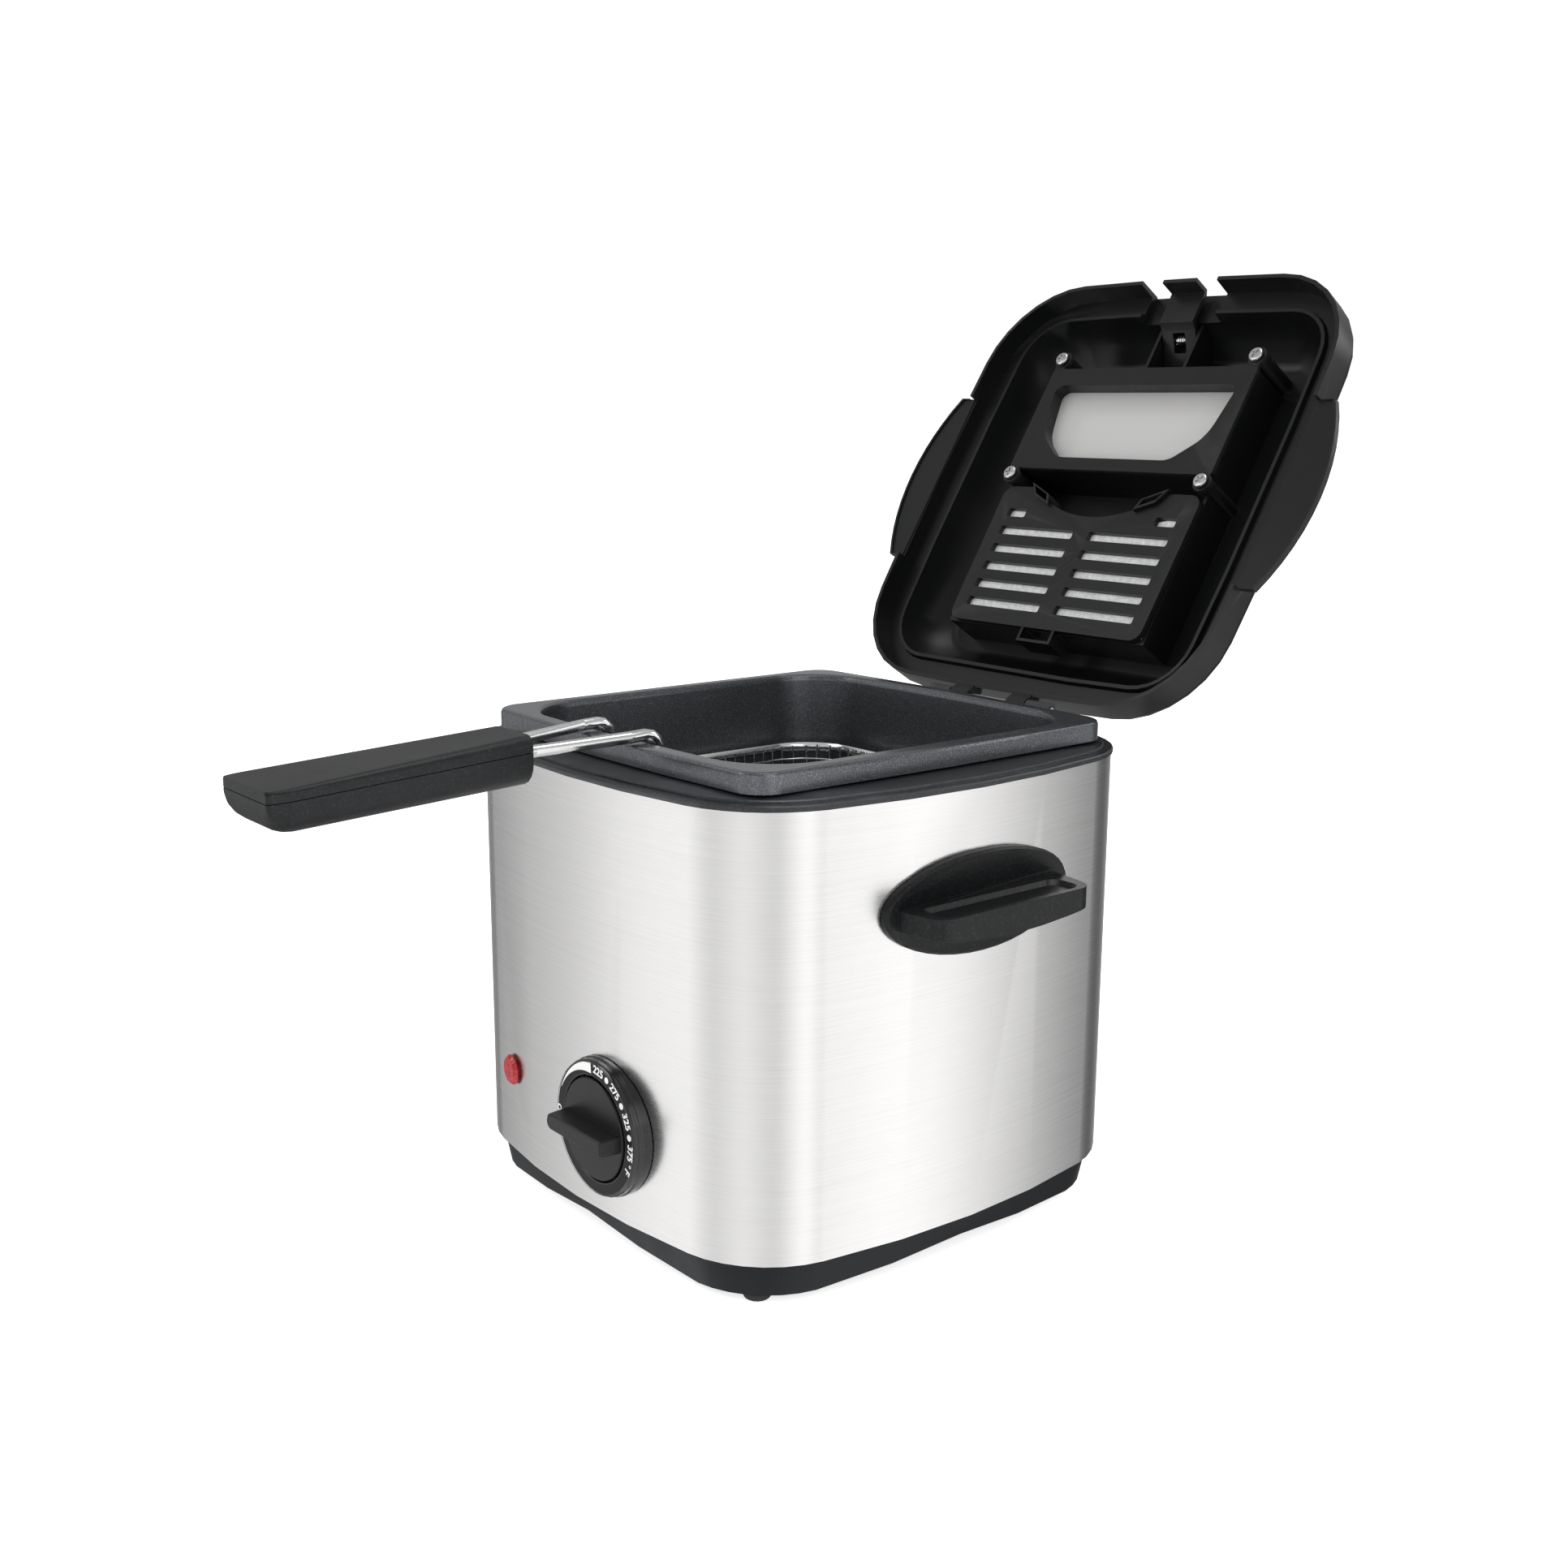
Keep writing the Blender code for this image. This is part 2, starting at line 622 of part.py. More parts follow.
def make_heating():
    """Spreader plate, tubular element and clamp strap on the pot's stud, with fuse and sensor."""
    plate_top = Z_RIM - POT_DEPTH - POT_WALL - GAP
    plate_low = plate_top - PLATE_THICK
    half = PLATE_HALF
    square = [(half, half), (-half, half), (-half, -half), (half, -half)]
    plate = prism("heat_spreader", rounded(square, 0.014), plate_low, plate_top, "aluminium")
    stud = STUD_RADIUS
    cut(plate,
        turned("cut_stud", [(stud + GAP, -0.01), (stud + GAP, 0.01)], (0, 0, plate_low), (0, 0, 1), "steel",
               12))
    z = plate_low - GAP - ELEMENT_RADIUS
    e = ELEMENT_HALF
    ends = 0.0120
    route = [(ends, e + 0.012, z - 0.018), (ends, e + 0.001, z), (e, e, z), (e, -e, z), (-e, -e, z),
             (-e, e, z),
             (-ends, e + 0.001, z), (-ends, e + 0.012, z - 0.018)]
    path = bent(route, [0.006, 0.018, 0.018, 0.018, 0.018, 0.006], 5)
    tube("heating_element", path, ELEMENT_RADIUS, "steel", 8)
    strap_top = z - ELEMENT_RADIUS - GAP
    strap_low = strap_top - 0.0015
    strap = block("clamp_strap", (-e - 0.008, -0.007, strap_low), (e + 0.008, 0.007, strap_top), "steel")
    cut(strap,
        turned("cut_strap", [(stud + GAP, -0.01), (stud + GAP, 0.01)], (0, 0, strap_low), (0, 0, 1), "steel",
               12))
    nut_top = strap_low - GAP
    bore = (stud + GAP) / math.cos(math.pi / 6)
    nut = [(0.0052, nut_top - 0.004), (0.0052, nut_top), (bore, nut_top), (bore, nut_top - 0.004)]
    turned("clamp_nut", nut, (0, 0, 0), (0, 0, 1), "bright_steel", 6, closed=True)
    turned("thermal_fuse", [(0.0018, -0.006), (0.0018, 0.006)], (0.030, 0, strap_low - GAP - 0.0018),
           (1, 0, 0),
           "bright_steel", 12)
    bulb_y = -0.030
    bulb_z = plate_low - GAP - 0.0022
    turned("sensor_tube", [(0.0022, -0.024), (0.0022, 0.024)], (0, bulb_y, bulb_z), (1, 0, 0), "copper", 12)
    return bulb_y, bulb_z, z - 0.018


def make_controls(bulb_y, bulb_z):
    """Thermostat behind the dial on its bracket, the dial plate, the knob with its shaft, and the lamp."""
    front = body_depth(DIAL_X)
    bracket_y = -front + 0.0120
    body_y = bracket_y + 0.0015 + GAP
    low = (DIAL_X - 0.020, bracket_y, Z_SLEEVE - 0.0025 + GAP)
    bracket = block("thermostat_bracket", low, (DIAL_X + 0.020, bracket_y + 0.0015, DIAL_Z + 0.022), "steel")
    shaft_hole = turned("cut_bracket", [(0.0050, -0.01), (0.0050, 0.01)], (DIAL_X, bracket_y, DIAL_Z),
                        (0, 1, 0), "steel", 16)
    cut(bracket, shaft_hole)
    case = [(DIAL_X - 0.0145, DIAL_Z - 0.0130), (DIAL_X + 0.0145, DIAL_Z - 0.0130),
            (DIAL_X + 0.0145, DIAL_Z + 0.0130), (DIAL_X - 0.0145, DIAL_Z + 0.0130)]
    prism("thermostat_body", rounded(case, 0.003), body_y, body_y + 0.022, "gloss", axis="y")
    start = (0.0230, bulb_y, bulb_z)
    route = [start, (0.0330, bulb_y, bulb_z), (0.0360, bulb_y - 0.012, bulb_z - 0.016),
             (0.0300, body_y + 0.036, DIAL_Z + 0.002), (0.0280, body_y + 0.0223, DIAL_Z)]
    join(bpy.data.objects["sensor_tube"], tube("capillary", bent(route, 0.006), 0.0008, "copper", 6))

    r = DIAL_RADIUS
    plate = [(r, -0.0080), (r, 0.0018), (r - 0.0006, 0.0024), (r - 0.0006, 0.0042), (r - 0.0012, 0.0050)]
    plate += [(r - 0.0020, DIAL_DEPTH), (KNOB_RADIUS + 0.0010, DIAL_DEPTH)]
    plate += [(KNOB_RADIUS + 0.0006, DIAL_DEPTH - 0.0009), (KNOB_RADIUS + 0.0006, DIAL_DEPTH - 0.0044)]
    plate += [(SHAFT_RADIUS + RUN, DIAL_DEPTH - 0.0044), (SHAFT_RADIUS + RUN, -0.0080)]
    dial = turned("dial_plate", plate, (DIAL_X, -front, DIAL_Z), (0, -1, 0), "gloss", 36, closed=True)
    cut(dial, body_envelope("cut_dial_back"))

    knob_pivot = pivot("knob_axis", (DIAL_X, -front, DIAL_Z))
    k = KNOB_RADIUS
    face = DIAL_DEPTH + KNOB_PROUD
    disc = [(k, face - 0.0030), (k, face - 0.0004), (k - 0.0004, face)]
    knob = turned("control_knob", disc, (DIAL_X, -front, DIAL_Z), (0, -1, 0), "plastic", 40)
    socket = [(SHAFT_RADIUS + GAP, -0.01), (SHAFT_RADIUS + GAP, DIAL_DEPTH + 0.0040)]
    join(knob, knob_bar(front))
    cut(knob, turned("cut_socket", socket, (DIAL_X, -front, DIAL_Z), (0, -1, 0), "plastic", 16))
    reach = [(SHAFT_RADIUS, -(front + body_y) + GAP), (SHAFT_RADIUS, DIAL_DEPTH + 0.0035)]
    shaft = turned("knob_shaft", reach, (DIAL_X, -front, DIAL_Z), (0, -1, 0), "bright_steel", 16)
    parent_to(knob_pivot, knob, shaft, *[m.object for m in knob.modifiers])

    lens = [(LAMP_RADIUS, GAP + 0.0002), (LAMP_RADIUS, 0.0010), (LAMP_RADIUS - 0.0012, 0.0024),
            (LAMP_RADIUS - 0.0034, 0.0032)]
    stem = [(0.0032, -0.0020), (0.0032, -0.0120), (LAMP_STEM, -0.0120), (LAMP_STEM, GAP + 0.0002)]
    where = (LAMP_X, -body_depth(LAMP_X), LAMP_Z)
    turned("lamp_lens", stem + lens, where, lamp_axis(), "lamp", 24)
    bulb = [(0.0026, -0.0180), (0.0026, -0.0036), (0.0014, -0.0026)]
    turned("neon_bulb", bulb, where, lamp_axis(), "copper", 14)
    return body_y


def knob_bar(front):
    """The raised bar of the knob, a little narrower at its front, pointing left at rest."""
    base_y = -front - DIAL_DEPTH - KNOB_PROUD + 0.0020
    top_y = -front - DIAL_DEPTH - KNOB_PROUD - BAR_DEPTH

    def level(y, trim):
        half_l, half_w = BAR_LENGTH / 2 - trim, BAR_WIDTH / 2 - trim
        corners = [(half_l, -half_w), (half_l, half_w), (-half_l, half_w), (-half_l, -half_w)]
        path = rounded(corners, [0.0012, 0.0012, 0.0026, 0.0026], 3)
        return [(DIAL_X + x, y, DIAL_Z + z) for x, z in path]

    rings = [level(base_y, 0.0), level(top_y + 0.0006, 0.0005), level(top_y, 0.0011)]
    return loft("knob_bar", rings, "plastic")


def lamp_axis():
    """The sleeve's outward direction at the lamp."""
    lean = LAMP_X / bow_radii(BODY)[1]
    return (lean, -math.sqrt(1 - lean * lean), 0)


def make_inlet():
    """Breakaway inlet: a recessed socket with two pins and the plate that the cord's magnets hold."""
    y = BODY["half_y"]
    outer = rounded([(0.0250, 0.0145), (-0.0250, 0.0145), (-0.0250, -0.0145), (0.0250, -0.0145)], 0.005)
    flange = prism("power_inlet", [(px, INLET_Z + pz) for px, pz in outer], y - 0.0060, y + INLET_FLANGE,
                   "plastic", "y")
    cut(flange, body_envelope("cut_inlet_back"))
    low = (-INLET_HALF_X, y - INLET_DEPTH, INLET_Z - INLET_HALF_Z)
    high = (INLET_HALF_X, y + 0.0015, INLET_Z + INLET_HALF_Z)
    join(flange, block("inlet_tunnel", low, high))
    inner = (INLET_HALF_X - 0.0025, INLET_HALF_Z - 0.0025)
    low = (-inner[0], y - INLET_DEPTH + 0.0030, INLET_Z - inner[1])
    cut(flange, block("cut_socket_space", low, (inner[0], y + 0.02, INLET_Z + inner[1])))
    back = y - INLET_DEPTH
    pin = 0.0015
    for side, name in ((-1, "inlet_pin_left"), (1, "inlet_pin_right")):
        x = side * 0.0075
        hole = [(pin + GAP, -0.01), (pin + GAP, 0.01)]
        cut(flange, turned(f"cut_{name}", hole, (x, back, INLET_Z), (0, 1, 0), "plastic", 12))
        turned(name, [(pin, -0.005), (pin, 0.0110), (pin - 0.0005, 0.0118)], (x, back, INLET_Z), (0, 1, 0),
               "bright_steel", 12)
    low = (-0.0155, back + 0.0030 + GAP, INLET_Z - 0.0050)
    plate = block("magnet_plate", low, (0.0155, back + 0.0048, INLET_Z + 0.0050), "steel")
    cut(plate,
        block("cut_magnet_plate", (-0.0100, back, INLET_Z - 0.0025), (0.0100, back + 0.01, INLET_Z + 0.0025)))
    return back


def make_leads(inlet_back, body_y, terminal_z):
    """Three insulated leads: mains to the thermostat, thermostat to the element, element back to the inlet."""
    start_y = inlet_back - 0.0053
    rear_y = ELEMENT_HALF + 0.0130
    low_z = Z_SLEEVE + 0.0085
    body_rear = body_y + 0.0223
    live = [(-0.0075, start_y, INLET_Z), (-0.0075, start_y - 0.010, INLET_Z), (-0.0200, 0.070, low_z),
            (-0.0200, -0.050, low_z), (DIAL_X - 0.0080, body_rear + 0.012, DIAL_Z - 0.006), (DIAL_X - 0.0080,
                body_rear, DIAL_Z - 0.006)]
    tube("lead_live", bent(live, 0.006, 3), 0.0011, "copper", 6)
    end_z = terminal_z - 0.0006
    neutral = [(0.0075, start_y, INLET_Z), (0.0075, start_y - 0.012, INLET_Z),
               (0.0120, rear_y + 0.0040, end_z - 0.014),
               (0.0120, rear_y - 0.0006, end_z)]
    tube("lead_neutral", bent(neutral, 0.004, 3), 0.0011, "rubber", 6)
    switched = [(-0.0120, rear_y - 0.0006, end_z), (-0.0120, rear_y - 0.002, end_z - 0.010),
                (-0.0060, 0.030, low_z + 0.012),
                (DIAL_X + 0.0060, -0.040, low_z + 0.012), (DIAL_X + 0.0060, body_rear + 0.012,
                    DIAL_Z - 0.004),
                (DIAL_X + 0.0060, body_rear, DIAL_Z - 0.004)]
    tube("lead_switched", bent(switched, 0.006, 3), 0.0011, "filter", 6)


# ---------------------------------------------------------------- side grips


def make_grip(side, name):
    """Oval plate on the sleeve with a lifting shelf, its top scooped and its lower edge bowed."""
    x0 = BODY["half_x"]

    def oval(x, trim):
        flat = circle(1.0, 40)
        spots = [((GRIP_HALF - trim) * c, GRIP_Z + (GRIP_RISE - trim) * s) for c, s in flat]
        return [(side * (x + body_width(y) - x0), y, z) for y, z in spots]

    rings = [oval(x0 - 0.0100, 0.0), oval(x0 + GRIP_PLATE - 0.0011, 0.0), oval(x0 + GRIP_PLATE, 0.0011)]
    grip = loft(name, rings, "textured")
    reach = x0 + SHELF_REACH
    top = GRIP_Z + SHELF_TOP
    plan = [(x0 - 0.008, -SHELF_HALF), (reach, -SHELF_HALF + 0.0045), (reach, SHELF_HALF - 0.0045),
            (x0 - 0.008, SHELF_HALF)]
    plan = [(side * x, y) for x, y in rounded(plan, [0, 0.008, 0.008, 0], 5)]
    shelf = prism(f"{name}_shelf", plan, top - SHELF_DEEP, top, "textured")
    lowest = [(y, top - SHELF_SHALLOW - (SHELF_DEEP - SHELF_SHALLOW) * math.cos(y / SHELF_HALF * math.pi / 2))
              for y in np.linspace(-SHELF_HALF - 0.001, SHELF_HALF + 0.001, 15)]
    face = lowest + [(SHELF_HALF + 0.001, top + 0.01), (-SHELF_HALF - 0.001, top + 0.01)]
    low_x, high_x = sorted((side * (x0 - 0.02), side * (reach + 0.01)))
    boolean(shelf, prism(f"{name}_face", face, low_x, high_x, "textured", axis="x"), "INTERSECT")
    scoop_low, scoop_high = x0 + GRIP_PLATE + 0.0004, reach - 0.0022
    long_half = SHELF_HALF - 0.0080
    hollow = rounded([(scoop_low, -long_half), (scoop_high, -long_half), (scoop_high, long_half),
                      (scoop_low, long_half)],
                     0.005, 4)
    inner = rounded([(scoop_low + 0.002, -long_half + 0.003), (scoop_high - 0.002, -long_half + 0.003),
                     (scoop_high - 0.002, long_half - 0.003), (scoop_low + 0.002,
                         long_half - 0.003)], 0.004, 4)
    scoop = loft(f"{name}_scoop", [[(side * x, y, top - 0.0018) for x, y in inner],
                                   [(side * x, y, top + 0.0002) for x, y in hollow],
                                   [(side * x, y, top + 0.005) for x, y in hollow]], "textured")
    join(grip, shelf)
    cut(grip, scoop, body_envelope(f"{name}_back"))
    for along, tag in ((-GRIP_SCREW_Y, "front"), (GRIP_SCREW_Y, "rear")):
        wall = body_width(along)
        hole = [(SCREW_RADIUS + GAP, -0.02), (SCREW_RADIUS + GAP, 0.0024)]
        centre = (side * wall, along, GRIP_Z)
        cut(grip, turned(f"cut_{name}_{tag}", hole, centre, (side, 0, 0), "steel", 12))
        shank = SLEEVE_WALL + 0.0007
        screw = [(SCREW_HEAD, -shank - 0.0018), (SCREW_HEAD, -shank), (SCREW_RADIUS, -shank),
                 (SCREW_RADIUS, 0.0020)]
        turned(f"grip_screw_{'left' if side < 0 else 'right'}_{tag}", screw, centre, (side, 0, 0),
               "bright_steel", 12)


# ---------------------------------------------------------------- lid


def lid_rings():
    """Section of the lid shell from the ceiling out to the rim and over the dome to its top."""
    base = LID_RIM_Z
    ceiling = base + LID_CEILING
    flange = base + LID_FLANGE
    ridge = flange - 0.0024
    shift = LID_SHIFT

    def at(outline, z):
        return ring(outline, z, shift)

    return [
        at(resized(LID, 0.0310, 0.0140), ceiling),
        at(resized(LID, 0.0265, 0.0180), ceiling - 0.0012),
        at(resized(LID, 0.0195, 0.0230), ceiling - 0.0075),
        at(resized(LID, 0.0160, 0.0240), ceiling - 0.0170),
        at(resized(LID, 0.0150, 0.0240), ridge),
        at(resized(LID, 0.0132, 0.0260), ridge),
        at(resized(LID, 0.0124, 0.0270), flange),
        at(inset(LID, LID_SKIRT_WALL + 0.0003), flange),
        at(inset(LID, LID_SKIRT_WALL), base),
        at(LID, base),
        at(LID, base + 0.0132),
        at(inset(LID, 0.0010), base + 0.0160),
        at(inset(LID, 0.0042), base + 0.0192),
        at(inset(LID, 0.0110), base + 0.0228),
        at(resized(LID, 0.0200, 0.0170), base + 0.0285),
        at(resized(LID, 0.0270, 0.0120), base + 0.0335),
        at(resized(LID, 0.0330, 0.0100), ceiling + LID_WALL),
    ]


def wing(side):
    """A finger wing on the lid's side: a bowed plate with blunt ends and its edge turned down."""
    swell = WING_REACH - WING_END
    radius = (WING_HALF * WING_HALF + swell * swell) / (2 * swell)
    spread = math.asin(WING_HALF / radius)
    low = LID_RIM_Z + WING_RISE

    def plan(trim):
        angles = np.linspace(-spread, spread, 13)
        edge = [(WING_REACH - radius + (radius - trim) * math.cos(t),
                 LID_SHIFT + (radius - trim) * math.sin(t)) for t in angles]
        inner = LID["half_x"] - 0.0016
        return [(side * x, y) for x, y in [(inner, edge[0][1]), *edge, (inner, edge[-1][1])]]

    plate = prism(f"wing_{side}", plan(0.0), low, low + WING_THICK, "plastic")
    edge = prism(f"wing_edge_{side}", plan(0.0), low - 0.0010, low + 0.0010, "plastic")
    hollow = prism(f"wing_hollow_{side}", plan(0.0013), low - 0.0100, low - 0.0001, "plastic")
    trim = block(f"wing_trim_{side}",
                 *span(side, 0.0, LID["half_x"] + 0.0016, -0.08, 0.08, low - 0.0100, low - 0.0001))
    cut(edge, hollow, trim)
    join(plate, edge)
    return plate


def span(side, low_x, high_x, low_y, high_y, low_z, high_z):
    """Corners of a block given on the +X side, mirrored to the side asked for."""
    xs = sorted((side * low_x, side * high_x))
    return (xs[0], low_y, low_z), (xs[1], high_y, high_z)


def window_outline(grow=0.0):
    """Window shape: wide and square at the lid's front, narrowing in a round sweep towards the hinge."""
    corners = [(0.0560, -0.0572), (0.0505, -0.0290), (0.0345, -0.0160),
               (-0.0345, -0.0160), (-0.0505, -0.0290), (-0.0560, -0.0572)]
    middle = Vector((0.0, -0.0370))
    grown = []
    for corner in corners:
        away = Vector(corner) - middle
        grown.append(tuple(Vector(corner) + Vector((math.copysign(grow, away.x),
            math.copysign(grow, away.y)))))
    return rounded(grown, [0.0045, 0.0200, 0.0110, 0.0110, 0.0200, 0.0045], 5)


def latch_rib(base, ceiling):
    """Outline in (y, z) of the ribs beside the latch, kept inside the dome."""
    return [
        (LATCH_Y - 0.0080, base + SLOT_HEIGHT + 0.0010),
        (LATCH_Y + 0.0190, base + SLOT_HEIGHT + 0.0010),
        (LATCH_Y + 0.0190, ceiling + 0.0005),
        (LATCH_Y + 0.0075, ceiling + 0.0005),
        (LATCH_Y - 0.0040, base + 0.0262),
        (LATCH_Y - 0.0080, base + 0.0200),
    ]


def make_lid_shell():
    base = LID_RIM_Z
    ceiling = base + LID_CEILING
    lid = loft("lid_shell", lid_rings(), "plastic")
    wall_low = base + FRAME_DROP + FRAME_THICK + GAP
    filter_low = cover_low() + COVER_THICK + GAP
    x, w = HOUSING_HALF_X, HOUSING_WALL
    outer = block("housing_front", (-x, HOUSING_FRONT, wall_low), (x, FRAME_REAR, ceiling + 0.0010))
    cut(outer,
        block("housing_front_space", (-x + w, HOUSING_FRONT + w, wall_low - 0.01),
              (x - w, FRAME_REAR - w, ceiling + 0.01)))
    rear = block("housing_rear", (-x, FRAME_REAR - w, filter_low), (x, HOUSING_REAR, ceiling + 0.0010))
    cut(rear,
        block("housing_rear_space", (-x + w, FRAME_REAR, filter_low - 0.01),
              (x - w, HOUSING_REAR - w, ceiling + 0.01)))
    join(lid, outer, rear)
    for i, (sx, sy) in enumerate(lid_screw_places()):
        boss = [(BOSS_RADIUS, wall_low), (BOSS_RADIUS, ceiling + 0.0010)]
        join(lid, turned(f"lid_boss_{i}", boss, (sx, sy, 0), (0, 0, 1), "plastic", 16))
    for side in (-1, 1):
        z = base + WING_RISE
        notch = span(side, 0.1030, 0.1300, LID_SHIFT - WING_HALF, LID_SHIFT + WING_HALF, base - 0.01,
                     z + 0.0004)
        cut(lid, block(f"cut_notch_{side}", *notch))
        join(lid, wing(side))
        low_x, high_x = sorted((side * (SLOT_INNER + 0.0003), side * (SLOT_INNER + 0.0021)))
        join(lid, prism(f"latch_rib_{side}", latch_rib(base, ceiling), low_x, high_x, "plastic", axis="x"))
    cut(lid,
        block("cut_front", (-SLOT_OUTER, -0.13, base - 0.01),
              (SLOT_OUTER, LATCH_Y + 0.0070, base + SLOT_HEIGHT)))
    cut(lid, block("cut_button", (-SLOT_INNER - 0.0001, LATCH_Y + 0.0033, ceiling - 0.0040),
                   (SLOT_INNER + 0.0001, LATCH_Y + 0.0167, ceiling + 0.01)))
    cut(lid,
        turned("cut_latch_pin", [(0.0012 + GAP, -0.0115), (0.0012 + GAP, 0.0115)], (0, LATCH_Y, latch_z()),
               (1, 0, 0),
                    "plastic", 12))
    cut(lid, prism("cut_window", window_outline(), ceiling - 0.002, ceiling + 0.01, "plastic"))
    for i, (sx, sy) in enumerate(lid_screw_places()):
        hole = [(SCREW_RADIUS + GAP, wall_low - 0.01), (SCREW_RADIUS + GAP, wall_low + 0.0080)]
        cut(lid, turned(f"cut_lid_screw_{i}", hole, (sx, sy, 0), (0, 0, 1), "plastic", 12))
    for i in range(4):
        y = 0.0180 + i * 0.0130
        cut(lid,
            block(f"cut_steam_{i}", (-0.0280, y - 0.0015, ceiling - 0.002),
                  (0.0280, y + 0.0015, ceiling + 0.01)))
    root = [(BODY["half_y"] - 0.0020, base + 0.0001), (BODY["half_y"] - 0.0020, base + 0.0068)]
    for side in (-1, 1):
        low_x, high_x = sorted((side * 0.0125, side * 0.0240))
        join(lid, hinge_lug(f"lid_lug_{side}", low_x, high_x, root, "plastic"))
    cut(lid, pin_cutter("cut_lid_pin"))
    return lid



def latch_z():
    return LID_RIM_Z + 0.0192


def cover_low():
    return LID_RIM_Z + FRAME_DROP + 0.0027


def lid_screw_places():
    return [(sx * SCREW_X, sy) for sy in (SCREW_FRONT, SCREW_REAR) for sx in (-1, 1)]


def make_window():
    """Frame plate with a tunnel to the pane, the pane and its seal, and four screws."""
    low = LID_RIM_Z + FRAME_DROP
    top = low + FRAME_THICK
    ceiling = LID_RIM_Z + LID_CEILING
    glass_low = ceiling - 0.0045 - GLASS_THICK
    x = HOUSING_HALF_X + 0.0010
    plate = [(x, HOUSING_FRONT - 0.0005), (x, FRAME_REAR + 0.0002), (-x, FRAME_REAR + 0.0002),
             (-x, HOUSING_FRONT - 0.0005)]
    frame = prism("window_frame", rounded(plate, 0.0020, 3), low, top, "plastic")
    for i, (sx, sy) in enumerate(lid_screw_places()):
        ear = turned(f"ear_{i}", [(BOSS_RADIUS + 0.0006, low), (BOSS_RADIUS + 0.0006, top)], (sx, sy, 0),
                     (0, 0, 1), "plastic", 16)
        inward = math.copysign(0.0060, HOUSING_FRONT / 2 - sy) if sy < FRAME_REAR else -0.0070
        sides = sorted((sy, sy + inward))
        web = block(f"web_{i}", (sx - 0.0030, sides[0], low + 0.0001), (sx + 0.0030, sides[1], top - 0.0001))
        join(frame, ear, web)
    tunnel = prism("window_tunnel", window_outline(0.0014), low + 0.0005, glass_low - GAP, "plastic")
    join(frame, tunnel)
    cut(frame, prism("cut_window_frame", window_outline(), low - 0.01, glass_low + 0.01, "plastic"))
    for i, (sx, sy) in enumerate(lid_screw_places()):
        cut(frame,
            turned(f"cut_ear_{i}", [(SCREW_RADIUS + GAP, low - 0.01), (SCREW_RADIUS + GAP, top + 0.01)],
                   (sx, sy, 0), (0, 0, 1), "plastic", 12))
    glass = prism("window_glass", window_outline(0.0020), glass_low, glass_low + GLASS_THICK, "glass")
    seal_low = glass_low + GLASS_THICK + GAP
    seal = prism("window_seal", window_outline(0.0020), seal_low, ceiling - GAP, "rubber")
    cut(seal, prism("cut_seal", window_outline(-0.0006), seal_low - 0.01, ceiling + 0.01, "rubber"))
    screws = []
    for i, (sx, sy) in enumerate(lid_screw_places(), start=1):
        head_top = low - GAP
        screw = [(0.0022, head_top - 0.0020), (SCREW_HEAD, head_top - 0.0011), (SCREW_HEAD, head_top),
                 (SCREW_RADIUS, head_top), (SCREW_RADIUS, head_top + 0.0095)]
        screws.append(turned(f"lid_screw_{i}", screw, (sx, sy, 0), (0, 0, 1), "bright_steel", 16))
    return [frame, glass, seal, *screws]


